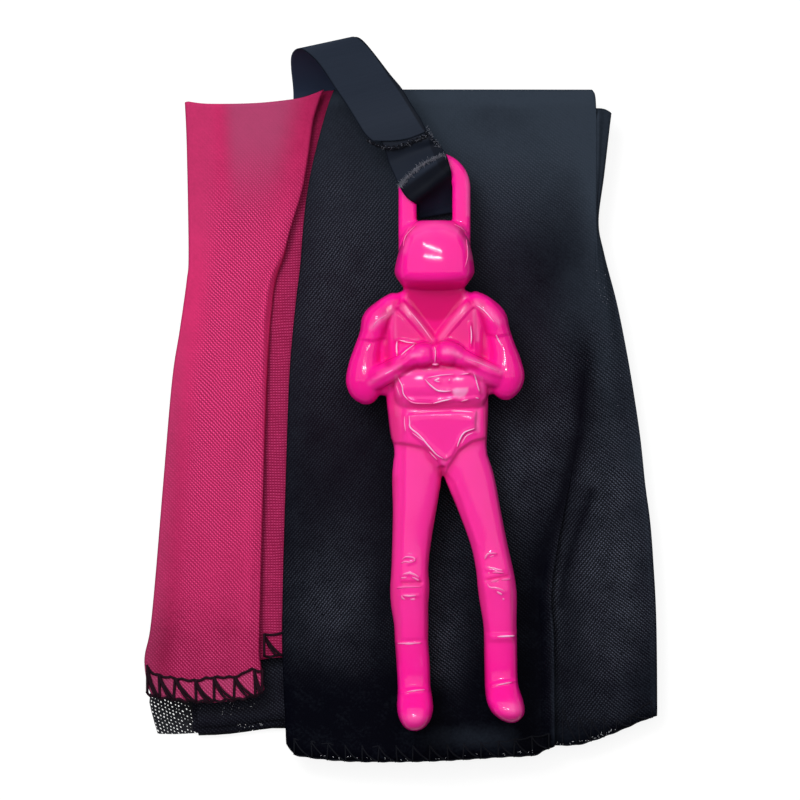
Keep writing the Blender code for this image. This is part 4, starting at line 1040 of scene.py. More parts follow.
# Figure: (down, right, half width in sheet units, middle height and half depth in millimetres)

HELMET = [
    (220.6, 435.0, 13.0, 6.8, 2.4), (222.0, 435.0, 19.0, 6.8, 3.6), (227, 435.5, 24.3, 6.9, 4.7),
    (234, 435.5, 29.5, 7.0, 5.5), (241, 435.5, 33.2, 7.0, 5.95), (250, 435.2, 36.0, 7.0, 6.3),
    (260, 434.8, 38.4, 7.0, 6.45), (268, 434.5, 39.8, 6.9, 6.4), (273, 434.4, 40.0, 6.8, 6.15),
    (278, 434.2, 38.0, 6.6, 6.0), (283, 434.0, 34.5, 6.4, 5.6), (287, 434.0, 31.5, 6.2, 4.6),
    (290, 434.0, 29.5, 5.9, 3.4), (291.5, 434.0, 26.0, 5.8, 2.2),
]
NECK = [
    (276, 434, 30.5, 5.8, 4.2), (285, 434, 31, 5.5, 3.7), (297, 434, 30, 5.2, 3.0),
    (308, 435, 26, 5.1, 2.8), (322, 435, 18, 5.0, 2.6), (340, 435, 8, 4.9, 2.4),
]
TORSO = [
    (290.0, 435, 30, 5.2, 2.2), (296, 435, 44, 5.4, 2.8), (305, 435, 54, 5.5, 3.2),
    (319, 435, 59, 5.6, 3.4), (344, 435, 59, 5.7, 3.4), (366, 435.5, 55, 5.6, 3.4),
    (382, 436, 51, 5.6, 3.4), (404, 437.5, 50.8, 5.5, 3.35), (435, 438.8, 48.4, 5.5, 3.35),
    (445, 440, 46.5, 5.5, 3.3), (457, 441, 46.5, 5.5, 3.2), (466, 442, 44.5, 5.4, 2.8),
]
LEFT_LEG = [
    (440, 418, 20, 5.5, 2.8), (449, 418, 22.6, 5.55, 3.15), (461.4, 417.5, 24.3, 5.6, 3.2),
    (479.3, 416.7, 24.7, 5.6, 3.2), (509.4, 414.6, 22.0, 5.6, 3.2), (544.6, 411.4, 19.4, 5.6, 3.15),
    (569.4, 409.8, 18.7, 5.7, 3.2), (587.3, 409.8, 19.8, 5.75, 3.3), (604.7, 409.6, 18.8, 5.6, 3.2),
    (624.3, 411.2, 17.3, 5.5, 3.1), (641, 411.6, 16.8, 5.45, 3.05), (664.2, 413.2, 16.8, 5.4, 3.0),
    (684.4, 414.0, 16.5, 5.5, 3.0), (695.3, 414.8, 17.4, 6.0, 3.6), (707.5, 415.1, 18.2, 6.8, 4.4),
    (718.4, 415.0, 15.8, 7.3, 4.4), (726.5, 414.6, 10.2, 7.5, 3.2), (730, 414.4, 3.5, 7.5, 1.4),
]
RIGHT_LEG = [
    (440, 460, 20, 5.5, 2.8), (449, 462.4, 22.6, 5.55, 3.15), (461.4, 465.4, 24.5, 5.6, 3.2),
    (479.3, 470, 25, 5.6, 3.2), (509.4, 479, 21.6, 5.6, 3.2), (544.6, 489, 18.6, 5.6, 3.15),
    (569.4, 494.4, 18.8, 5.7, 3.2), (587.3, 496.8, 19.4, 5.75, 3.3), (601.2, 498, 18.8, 5.6, 3.2),
    (621.4, 499.6, 16.9, 5.5, 3.1), (633.5, 500.2, 16.6, 5.45, 3.05), (659.5, 500.5, 16.6, 5.4, 3.0),
    (679.2, 501, 16.6, 5.5, 3.0), (689.6, 502.2, 17.4, 6.0, 3.6), (701.1, 505, 18.4, 6.8, 4.4),
    (711.5, 508, 16.4, 7.3, 4.4), (718.4, 510, 10.4, 7.5, 3.2), (721.9, 511, 3.5, 7.5, 1.4),
]
LEFT_ARM = [
    (301, 399, 9, 5.7, 2.3), (303.2, 395, 11, 5.8, 2.7), (310.7, 386, 13.0, 5.9, 3.2),
    (321.6, 377.5, 15.8, 6.0, 3.5), (335.5, 372.5, 13.4, 6.0, 3.3), (349.4, 368, 13.8, 6.2, 3.3),
    (365.5, 365, 16.6, 6.4, 3.4), (379.4, 365, 19.3, 6.6, 3.5), (391.5, 365.5, 16.8, 6.6, 3.2),
    (400, 366, 10.6, 6.6, 2.3), (404.6, 366, 3.6, 6.6, 0.9),
]
RIGHT_ARM = [
    (299, 469, 9, 5.7, 2.3), (301.4, 473, 11, 5.8, 2.7), (308.4, 483, 13.0, 5.9, 3.2),
    (319.3, 491.6, 15.4, 6.0, 3.5), (332.6, 497, 13.3, 6.0, 3.3), (347.6, 501.6, 13.7, 6.2, 3.3),
    (361.5, 504.5, 16.4, 6.4, 3.4), (375.4, 505.5, 19.0, 6.6, 3.5), (387.5, 505.5, 16.2, 6.6, 3.2),
    (395.6, 505.5, 10.2, 6.6, 2.3), (400, 505.5, 3.6, 6.6, 0.9),
]
LEFT_FOREARM = [
    (386, 362, 12.5, 7.2, 2.3), (382, 368, 12.5, 7.6, 2.5), (377, 379, 11.6, 8.5, 2.6),
    (370.2, 392, 10.6, 9.2, 2.5), (363, 404, 9.8, 9.7, 2.3), (359, 410.5, 9.8, 9.9, 2.2),
    (356.6, 415, 11.0, 10.0, 2.45), (355.2, 421, 12.2, 10.1, 2.7), (354, 427.5, 11.8, 10.1, 2.6),
    (353.2, 432.5, 9.6, 10.0, 2.1), (353, 434.8, 4.5, 10.0, 1.0),
]
RIGHT_FOREARM = [
    (382, 508, 12.5, 7.2, 2.3), (378.6, 502, 12.5, 7.6, 2.5), (374.6, 491, 11.6, 8.5, 2.6),
    (368.4, 478, 10.6, 9.2, 2.5), (361.6, 466.5, 9.8, 9.7, 2.3), (357.6, 460, 9.8, 9.9, 2.2),
    (355.2, 456, 11.0, 10.0, 2.45), (353.4, 450, 12.2, 10.1, 2.7), (352.2, 443.5, 11.8, 10.1, 2.6),
    (351.8, 438.5, 9.6, 10.0, 2.1), (351.8, 436.2, 4.5, 10.0, 1.0),
]
BELLY_PACK = [
    (356, 440, 30, 6.6, 2.4), (361, 440, 37, 7.2, 2.8), (367, 440.4, 43.5, 7.45, 3.0),
    (374, 440.6, 46.2, 7.6, 3.3), (387, 440.5, 47.0, 7.65, 3.5), (395, 440.6, 46.6, 7.5, 3.35),
    (401, 440.5, 45.4, 7.15, 3.1), (406, 440.4, 43.0, 6.7, 2.8), (410.5, 440.4, 39.0, 6.2, 2.3),
]
KNUCKLES = [
    (343, 435.5, 4.5, 8.0, 2.0), (348, 435.5, 7.5, 8.7, 2.6), (357, 435.5, 7.5, 8.8, 2.7),
    (364, 435.5, 7.0, 8.6, 2.4), (368, 435.5, 5.0, 8.2, 1.8),
]
BACK_PACK = [
    (305.5, 436, 32, 3.2, 1.8), (311, 436, 39, 2.7, 2.3), (329, 436, 42, 2.5, 2.5),
    (400, 437, 43, 2.5, 2.5), (419, 437, 40, 2.7, 2.3), (425.6, 437, 33, 3.2, 1.8),
]
LEFT_ELBOW_WEB = [
    (380, 384.0, 4.0, 6.3, 1.6), (385, 383.6, 6.0, 6.2, 2.0), (390, 383.4, 6.5, 6.1, 2.0),
    (393.5, 383.6, 5.5, 6.0, 1.7), (395.5, 383.8, 3.0, 5.9, 1.0),
]
RIGHT_ELBOW_WEB = [
    (379, 489.0, 4.0, 6.3, 1.6), (384, 489.4, 6.0, 6.2, 2.0), (389, 489.4, 6.5, 6.1, 2.0),
    (392.5, 489.2, 5.5, 6.0, 1.7), (394.5, 489.0, 3.0, 5.9, 1.0),
]
# Each body of the figure: (rows, squareness of its section, whether it lies square to its path)
BODIES = [
    (TORSO, 3.6, False), (NECK, 2.6, False), (HELMET, 2.35, False), (BELLY_PACK, 3.6, False),
    (BACK_PACK, 5.0, False), (KNUCKLES, 2.6, False), (LEFT_LEG, 2.6, False), (RIGHT_LEG, 2.6, False),
    (LEFT_ARM, 2.3, True), (RIGHT_ARM, 2.3, True), (LEFT_FOREARM, 2.8, True),
    (RIGHT_FOREARM, 2.8, True), (LEFT_ELBOW_WEB, 2.3, False), (RIGHT_ELBOW_WEB, 2.3, False),
]
BODY_SIDES = 40
STEPS_PER_ROW = 5
FIGURE_MIDDLE = 435
# The height that the figure's own heights are counted from, in millimetres off the table
FIGURE_BACK = 8.05
# The figure's depth is drawn in by this while its bodies are run together, and then let out again
SQUASH = 0.5
# (left, right and middle down in sheet units, half width, middle height, half depth)
EYELET = (407.6, 461.2, 188.4, 9.3, 5.6, 1.55)
EYELET_FOOT = 256
# Where the eyelet comes among the figure's bodies
EYELET_PLACE = 12


def section(sides, squareness):
    """A closed curve between an ellipse and a square: |x|^n + |z|^n = 1."""
    turns = np.arange(sides) * 2 * math.pi / sides
    cosine, sine = np.cos(turns), np.sin(turns)
    power = 2 / squareness
    return np.sign(cosine) * np.abs(cosine) ** power, np.sign(sine) * np.abs(sine) ** power


def closed_faces(rows, sides):
    """Faces of a round grid with a flat cap at each end."""
    last = (rows - 1) * sides
    faces = grid_faces(rows, sides, True).tolist()
    return faces + [list(range(sides))[::-1], list(range(last, last + sides))]


def body_shape(rows, squareness, along_path):
    """Points and faces of a closed body: a section carried down its rows. Its width lies across
    the figure, or square to its own path where along_path is set."""
    rows = flow(rows, STEPS_PER_ROW * len(rows))
    wide, deep = section(BODY_SIDES, squareness)
    down, right, half, middle, depth = (rows[:, k][:, None] for k in range(5))
    if along_path:
        step = np.gradient(rows[:, :2], axis=0)
        step /= np.linalg.norm(step, axis=1, keepdims=True)
        side_right, side_down = -step[:, :1], step[:, 1:]
    else:
        side_right, side_down = np.ones_like(half), np.zeros_like(half)
    points = place(
        right + side_right * half * wide, down + side_down * half * wide,
        FIGURE_BACK + middle + depth * deep,
    )
    return points.reshape(-1, 3), closed_faces(len(rows), BODY_SIDES)


def eyelet_shape():
    """The eyelet: a squarish bar up one side, round a half circle and down the other."""
    left, right, centre_down, half, middle, depth = EYELET
    sides, leg_steps = 32, 13
    centre, radius = (left + right) / 2, (right - left) / 2
    turns = np.linspace(math.pi, 0, 40)
    arc = np.stack([centre + radius * np.cos(turns), centre_down - radius * np.sin(turns)], -1)
    out = np.stack([np.cos(turns), -np.sin(turns)], -1)
    legs = np.linspace(EYELET_FOOT, centre_down, leg_steps + 1)[:-1]
    first = np.stack([np.full(leg_steps, left), legs], -1)
    route = np.concatenate([first, arc, np.stack([np.full(leg_steps, right), legs[::-1]], -1)])
    out = np.concatenate([
        np.tile((-1.0, 0.0), (leg_steps, 1)), out, np.tile((1.0, 0.0), (leg_steps, 1)),
    ])
    wide, deep = section(sides, 2.8)
    points = place(
        route[:, :1] + out[:, :1] * half * wide, route[:, 1:] + out[:, 1:] * half * wide,
        FIGURE_BACK + middle + depth * deep,
    )
    return points.reshape(-1, 3), closed_faces(len(route), sides)


# Raised areas of the figure's front: (height in millimetres, bevel in sheet units, outline)
RAISED_AREAS = [
    # Collar
    (0.42, 3, [(396, 307), (403, 300), (437, 339), (437, 347), (431, 345)]),
    (0.42, 3, [(474, 307), (467, 300), (434, 339), (434, 347), (440, 345)]),
    # End of the zip
    (0.25, 2, [(430.5, 368), (440.5, 368), (435.5, 362)]),
    # Shoulders
    (0.35, 3, [
        (399, 290), (373, 303), (356, 325), (357, 339), (372, 341), (385, 338), (388, 320),
        (400, 305),
    ]),
    (0.35, 3, [
        (470, 289), (492, 301), (511, 325), (511, 334), (497, 337), (486, 334), (482, 318),
        (472, 303),
    ]),
    # Chest straps
    (0.22, 2.5, [(394, 312), (400, 314), (424, 342), (414, 347), (404, 358), (394, 360)]),
    (0.22, 2.5, [(475, 310), (470, 312), (444, 342), (458, 346), (470, 354), (476, 354)]),
    # Belly pack
    (0.2, 4.0, [
        (399.5, 374.5), (470, 371.5), (477, 376), (481.5, 396), (474, 400), (432, 404), (412, 403),
        (404.5, 395), (399, 383),
    ]),
    # Plate
    (0.42, 2.2, [
        (409, 414), (476, 411.5), (475, 428), (466, 431), (459, 441), (451.5, 456), (445.6, 460),
        (439.5, 455.5), (425, 446), (411.5, 434), (408.8, 428),
    ]),
    # Inner sides of the trousers
    (0.46, 6, [
        (404, 398), (484, 398), (487, 440), (493, 470), (499, 500), (505.5, 545), (511, 575),
        (513, 640), (489, 640), (483, 590), (475, 545), (463, 505), (454, 482), (446, 474),
        (440, 474), (438, 500), (430, 530), (427.5, 560), (426, 600), (426, 640), (401, 640),
        (399, 590), (401, 560), (403.5, 500), (404, 450),
    ]),
    # Boots
    (0.34, 2.6, [(370, 641.5), (445, 640), (445, 760), (370, 760)]),
    (0.34, 2.6, [(466, 634), (540, 632), (560, 760), (466, 760)]),
]
JACKET_EDGE_HEIGHT, JACKET_EDGE_BEVEL = 0.55, 3
JACKET_EDGE = [
    (378, 380), (500, 380), (500, 434), (488, 437.5), (471.7, 441), (458, 451), (449, 465),
    (445, 473), (441, 465), (431, 453), (422, 447), (407, 444), (388, 442.5), (378, 440),
]
# Ribs, and grooves where the height is below 0: (height in millimetres, reach, line)
RIBS = [
    # Collar and zip
    (-0.16, 1.3, [(401, 305), (434, 344)]),
    (-0.16, 1.3, [(469, 304), (437, 343)]),
    (0.55, 1.4, [(433.5, 347), (435, 351), (435, 364)]),
    # Between the arms and the chest
    (-0.34, 5.0, [(386, 304), (385, 330), (388, 362)]),
    (-0.34, 5.0, [(484, 303), (485, 330), (482, 358)]),
    # Chest straps
    (0.36, 1.3, [(398, 340), (408, 341.5), (418, 344)]),
    (0.38, 1.3, [(397, 341), (397, 356), (402, 354.5), (414, 345.5)]),
    (0.36, 1.3, [(470, 324), (471, 338), (470.5, 347)]),
    # Forearms
    (0.25, 2.2, [(374, 380), (388, 374), (404, 364), (413, 357)]),
    (0.25, 2.2, [(499, 376), (484, 371), (468, 362), (459, 355)]),
    # Belly pack
    (0.204, 1.6, [(398, 378), (402, 386), (404, 394), (409, 400), (416, 403), (432, 403.5)]),
    (0.216, 1.6, [(433, 403), (444, 400.5), (453, 399)]),
    (0.156, 1.6, [(461, 401), (468, 399)]),
    (0.216, 1.6, [(474, 374), (476.5, 384), (479, 392)]),
    (0.144, 1.6, [(473, 397.5), (479, 398)]),
    (0.24, 1.6, [(426, 379.5), (430, 385), (437, 390), (451, 391)]),
    (0.192, 1.6, [(427, 377.5), (440, 375), (454, 374.5)]),
    (0.168, 1.6, [(460, 374), (470, 373)]),
    (0.12, 1.6, [(434, 380), (440, 378.5)]),
    (0.12, 1.6, [(434, 380.5), (440, 382)]),
    (0.132, 1.6, [(449, 379), (449.5, 381)]),
    # Plate
    (0.144, 1.6, [(405, 416), (405.3, 431)]),
    (0.204, 1.6, [
        (409, 415.5), (409.8, 427), (420, 435.5), (429, 446), (437, 454.5), (444, 458.5),
    ]),
    (0.108, 1.6, [(412, 432), (425, 443), (438, 457)]),
    (0.216, 1.6, [(475, 428.5), (464, 432.5), (459.5, 440), (457, 447)]),
    (0.132, 1.6, [(475, 432.5), (466, 436.5), (461, 445)]),
    (0.12, 1.6, [(452, 411.5), (474, 411)]),
    # Boots
    (0.3, 1.8, [(401, 691), (414, 688.5), (428, 689)]),
    (0.3, 1.8, [(492, 684), (504, 681), (516, 679.5)]),
    # Thigh and knees
    (0.14, 2.0, [(456, 484), (466, 514), (478, 545)]),
    (0.174, 1.4, [(405.5, 557), (410, 555.5), (415, 557.5), (414, 561), (408, 563)]),
    (0.203, 1.4, [(402, 575), (410, 573.5), (419, 578)]),
    (-0.319, 1.4, [(400, 582.5), (421, 582)]),
    (0.203, 1.4, [(401, 595.5), (409, 596), (418, 595)]),
    (0.174, 1.4, [(486, 556), (490, 553), (496, 553)]),
    (0.203, 1.4, [(487, 568.5), (502, 571)]),
    (-0.29, 1.4, [(487, 579.6), (508, 575.6)]),
    (0.203, 1.4, [(495, 588.5), (504, 592)]),
]
# Painted shade in deep valleys: (how much painted shade, reach, line)
SHADE_LINES = [
    (0.75, 5.0, [(389, 310), (386, 332), (388, 364)]),
    (0.75, 5.0, [(481, 308), (484, 332), (482, 360)]),
    (0.4, 4.0, [(396, 406), (440, 407), (484, 403)]),
    (0.35, 3.0, [(396, 372), (396, 402)]),
    (0.7, 8.0, [(393, 402), (395, 436)]),
    (0.45, 3.5, [(486, 404), (487, 434)]),
    (0.5, 4.0, [(400, 443), (424, 449), (440, 474)]),
    (0.5, 4.0, [(484, 438), (460, 450), (446, 474)]),
    (0.85, 3.4, [(400, 369), (420, 367.6), (455, 366.6), (476, 367)]),
    (0.3, 2.0, [(358, 340), (386, 338)]),
    (0.45, 5.0, [(394, 480), (392, 560), (396, 660)]),
    (0.45, 5.0, [(450, 500), (478, 590), (486, 690)]),
    (0.3, 2.0, [(486, 335), (512, 334)]),
    (0.25, 2.5, [(372, 376), (392, 366), (406, 358)]),
    (0.45, 2.6, [(402, 583), (419, 582.5)]),
    (0.45, 2.0, [(489, 579.4), (506, 575.8)]),
]
# Painted highlights on tops and edges: (how strong, reach, line)
PAINTED_HIGHLIGHT_LINES = [
    (0.12, 2.0, [(402, 375), (430, 372.6), (470, 372.2), (480, 378)]),
    (0.14, 2.0, [(396, 376), (397, 388), (400, 396)]),
    (0.14, 2.0, [(481, 378), (482, 392)]),
    (0.2, 3.0, [(476, 412), (477, 430)]),
    (0.26, 2.2, [(412, 356), (420, 355)]),
    (0.26, 2.6, [(444, 352), (452, 352.5), (460, 356)]),
    (0.18, 2.6, [(466, 359), (480, 363), (500, 372)]),
    (0.12, 2.4, [(370, 383), (384, 374), (400, 366)]),
    (0.2, 3.0, [(372, 328), (380, 320), (392, 312)]),
    (0.16, 3.5, [(476, 304), (486, 310), (498, 322)]),
    (0.18, 2.6, [(405, 308), (420, 324), (432, 340)]),
    (0.18, 3.0, [(464, 308), (452, 322), (441, 338)]),
    (0.18, 2.0, [(474, 312), (477, 340)]),
    (0.1, 2.0, [(394, 312), (395, 338)]),
    (0.1, 6.0, [(412, 232), (435, 226), (458, 232)]),
    (0.14, 3.0, [(466, 240), (471, 258)]),
    (0.1, 3.0, [(408, 240), (405, 252)]),
    (0.14, 3.0, [(446, 459), (443, 462)]),
    (0.14, 2.0, [(466, 165), (468, 190), (468, 215)]),
]
# The throat takes painted shade; the belly pack's patch below takes a painted highlight
THROAT = [(403, 286), (467, 286), (459, 311), (437, 340), (433, 340), (411, 311)]
PACK_SHINE = [
    (452.4, 389.4), (456, 388), (467.6, 387.6), (468, 391), (464.6, 396), (459, 398.6), (454, 397),
    (452, 392),
]
# Flat faces: (outline, (top, height there), (end, height there), width of the slope round it)
LEVEL_FACES = [
    ([(401, 284), (469, 284), (466, 301), (437.6, 342), (432.4, 342), (404, 301)],
     (286, 8.5), (342, 7.0), 8.0),
    ([(409, 417), (475, 415), (474, 428), (452, 455), (445, 460), (439, 455), (410, 434)],
     (414, 8.9), (462, 8.4), 5.0),
]
VISOR = [(411, 231), (459, 231), (468, 250), (470, 281), (400, 281), (402, 250)]
VISOR_TOP = (435, 275, 13.40)


def figure_relief(right, down):
    """Millimetres added to the front of the figure: the edges of its clothes and packs."""
    relief = 0.14 * spot(right, down, (460.5, 392.5), (7.0, 5.0))
    jacket = ease(inside(right, down, JACKET_EDGE), -JACKET_EDGE_BEVEL / 2, JACKET_EDGE_BEVEL / 2)
    relief += JACKET_EDGE_HEIGHT * jacket * ease(down, 398, 416)
    for height, bevel, outline in RAISED_AREAS:
        relief += height * ease(inside(right, down, outline), -bevel / 2, bevel / 2)
    for height, reach, line in RIBS:
        relief += height * ridge(right, down, line, reach)
    return relief


def along_lines(start, right, down, lines):
    """The start values, or what the lines' own (most, reach, line) give where that is more."""
    for most, reach, line in lines:
        start = np.maximum(start, most * ridge(right, down, line, reach))
    return start


def figure_shade(right, down):
    """Painted shade, deepest in the throat and the valleys between the limbs and the packs, less on the
    chest and the arms.
    """
    shade = 0.95 * ease(inside(right, down, THROAT), -4, 4)
    shade = shade * (1 - 0.60 * ease(down + (right - FIGURE_MIDDLE) ** 2 / 45, 318, 325))
    from_middle = abs(right - FIGURE_MIDDLE)
    chest = between(down, 296, 304, 338, 352) * (1 - ease(from_middle, 38, 50))
    arms = between(down, 292, 310, 396, 406) * ease(from_middle, 46, 58)
    shade = np.maximum(np.maximum(shade, 0.50 * chest), 0.18 * arms)
    return along_lines(shade, right, down, SHADE_LINES)


def figure_gleam(right, down):
    """Painted highlights: the tops of the moulding's bands, folds and packs, a patch on the belly pack, the
    toes, and a faint painted sheen over the trunk and legs.
    """
    gleam = 0.50 * ease(inside(right, down, PACK_SHINE), -1.6, 1.8)
    for middle, reach, more in (
        ((456, 390.5), (3.4, 2.4), 0.22), ((414, 717), (9, 5), 0.14), ((512, 707), (9, 6), 0.16),
    ):
        gleam = gleam + more * spot(right, down, middle, reach)
    waist = ease(abs(right - 440), 44, 56) * (1 - ease(down, 410, 450))
    gleam = np.maximum(gleam, 0.040 * between(down, 368, 380, 600, 680) * (1 - waist))
    return along_lines(gleam, right, down, PAINTED_HIGHLIGHT_LINES)


# Raised lines of the moulding, with a painted highlight along each: (how strong the painted highlight,
# radius in millimetres, line)
MOULD_LINES = [
    # Belly pack
    (1.0, 0.1, [(398, 378), (402, 386), (403.5, 394), (408, 400)]),
    (0.4, 0.1, [(408, 400), (415, 403), (432, 403.5)]),
    (0.45, 0.08, [(396.5, 386), (399.5, 395.5)]),
    (0.95, 0.11, [(433, 403.5), (443, 400.8), (452, 398.8)]),
    (0.55, 0.09, [(461, 401.4), (468, 399.4)]),
    (0.8, 0.11, [(474, 374), (476.5, 383), (479, 391.5)]),
    (0.6, 0.1, [(475, 397.5), (478.5, 398.5)]),
    (0.7, 0.1, [(428, 377.8), (440, 375.4), (454, 374.2)]),
    (0.65, 0.1, [(461, 374.4), (469, 373.4)]),
    (1.0, 0.14, [(425, 379.5), (430, 385), (437, 390.3), (444, 391.4), (451, 391)]),
    (0.95, 0.13, [(434, 380.8), (439, 378.7)]),
    (0.75, 0.1, [(435, 381), (439.5, 381.9)]),
    (0.75, 0.11, [(448.6, 381), (449.6, 378.8)]),
    # Plate
    (0.55, 0.1, [(404.5, 416), (404.6, 424), (405.6, 431)]),
    (1.0, 0.13, [
        (409, 415.6), (409.6, 422), (410.4, 427.5), (419.5, 435.3), (428, 445.2), (436, 454),
        (443, 458.4),
    ]),
    (0.5, 0.09, [(412, 432.5), (423.5, 441)]),
    (0.5, 0.09, [(429, 451.4), (437, 459.6)]),
    (1.0, 0.13, [(474.5, 428.3), (465, 431.8), (460.3, 437.6), (457, 446.6)]),
    (0.6, 0.1, [(473, 432.6), (466, 436), (461.4, 443.5)]),
    (0.9, 0.11, [(451, 411), (462, 411.2), (473, 412)]),
    (0.35, 0.1, [(413, 413.6), (430, 411.6), (449, 410.9)]),
    # Chest straps
    (1.0, 0.15, [(397, 341.6), (396.6, 348), (397, 355.6)]),
    (0.75, 0.11, [(399, 340.2), (407, 342.4), (416, 343.4)]),
    (0.8, 0.1, [(401, 355.4), (406, 351), (414.5, 344.6)]),
    (0.9, 0.11, [(470.4, 326), (471.2, 336), (470.6, 344)]),
    # Zip
    (0.7, 0.09, [(434, 347), (435.2, 351), (434.8, 363)]),
    (0.6, 0.16, [(432, 364.6), (438.5, 364.6)]),
    # Collar, shoulders and forearms
    (0.85, 0.1, [(476, 305.6), (484, 311), (494, 322.4)]),
    (0.8, 0.12, [(495.5, 335), (498.5, 341), (502, 346.6)]),
    (0.85, 0.13, [(370.6, 344.2), (366.6, 351)]),
    (0.45, 0.09, [(373, 328), (377, 321.4), (388, 314.4)]),
    (0.6, 0.09, [(408, 309.4), (420, 324), (432.4, 341)]),
    (0.75, 0.09, [(384.6, 374.4), (393, 370)]),
    (0.45, 0.08, [(465, 358.8), (480, 363.6), (498, 371.6)]),
    # Left knee
    (0.43, 0.16, [
        (402.2, 559), (405.3, 556.5), (409.2, 556.4), (413, 557), (414.8, 559.2), (413.8, 560.9),
    ]),
    (0.37, 0.16, [(413.6, 561), (409.2, 561.6), (405.3, 560.9), (401.3, 562.7)]),
    (0.53, 0.17, [(402.8, 573.8), (406.5, 572.8), (410.3, 572.4), (414.9, 574.1), (418.6, 576.6)]),
    (0.34, 0.18, [(401.0, 577.4), (407, 576.7)]),
    (0.37, 0.18, [(411.8, 576.5), (416, 578.3), (419, 579.8)]),
    (0.19, 0.22, [(397.0, 587.2), (405.3, 586.3), (421, 586.1)]),
    (0.53, 0.17, [(402.8, 594.6), (409.2, 595.2), (416, 594.6)]),
    (0.37, 0.17, [(401.4, 594.6), (402.6, 597.4), (405.2, 598.8)]),
    (0.43, 0.18, [(410.2, 598.7), (415.4, 598.3)]),
    # Right knee
    (0.46, 0.18, [(484.6, 558.6), (486.4, 554.6), (489.1, 552.7), (496, 552.9)]),
    (0.28, 0.15, [(489.2, 556.7), (493.6, 555.1)]),
    (0.56, 0.17, [(486.8, 566.7), (493.3, 567.8), (497.2, 568.9), (502, 569.6)]),
    (0.28, 0.16, [(487.6, 572.2), (489.6, 572.5)]),
    (0.31, 0.17, [(492.0, 572.0), (496.4, 571.5), (503.4, 572.1)]),
    (0.25, 0.22, [(490.4, 581.2), (499.2, 578.7)]),
    (0.22, 0.21, [(500.6, 579), (510, 578.2)]),
    (0.4, 0.17, [(486.8, 583.2), (489.5, 586.4), (495.2, 587.1), (499.5, 588.3), (504.2, 590.4)]),
    (0.59, 0.19, [(496.6, 590.9), (501.6, 593.8)]),
    (0.43, 0.17, [(502.8, 597.2), (503.2, 599.4)]),
    # Boots
    (0.5, 0.15, [(397.6, 642.7), (421, 642.2)]),
    (0.75, 0.13, [(405, 643.2), (414.8, 642.6)]),
    (0.9, 0.17, [(497, 635.8), (514, 635.1)]),
    (0.55, 0.1, [(406.8, 690.8), (416, 689.3), (424.8, 688.6)]),
    (0.65, 0.11, [(495.6, 684.4), (504, 682.6), (511.4, 681.2)]),
    # Helmet
    (0.35, 0.09, [(415.6, 226.6), (408, 233.4), (404.4, 240), (403.4, 247)]),
    (0.35, 0.09, [(453.8, 225), (460, 228), (465.8, 233)]),
    (0.28, 0.09, [(466.2, 240), (467.4, 256), (464.6, 268)]),
]


def moulded_lines(figure):
    """The raised lines of the moulding: thin round cords laid half into its front, with painted
    highlights along them, and fading out at both ends."""
    sides = 8
    cords, glow = [], []
    for strength, radius, line in MOULD_LINES:
        path = flow(line, 8 * len(line))
        share = np.linspace(0, 1, len(path))
        fade = np.sin(math.pi * np.clip(share, 0.04, 0.96)) ** 0.5
        route = on_cloth(figure, path[:, 0], path[:, 1], -0.35 * radius, 0.00026)
        heights = route[:, 2]
        for _ in range(4):
            heights[1:-1] = (heights[:-2] + 2 * heights[1:-1] + heights[2:]) / 4
        # Each cord's painted highlight, fading towards its ends
        pale, size = strength * fade, 1.2 * radius * (0.45 + 0.55 * fade)
        points, faces = tubes([route], MM, sides, 0.9)
        core = np.concatenate([np.repeat(route, sides, 0), route[:1], route[-1:]])
        size = np.concatenate([np.repeat(size, sides), size[:1], size[-1:]])[:, None]
        cords.append((core + (points - core) * size, faces))
        glow += [np.repeat(pale, sides), pale[:1], pale[-1:]]
    piece = new_object("moulded_lines", new_mesh("moulded_lines", *joined(cords), PLASTIC))
    # No painted shade on the cords, and their painted highlights
    paint(piece, shade=0.0, gleam=1.1 * np.concatenate(glow))
    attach(piece, "figure")


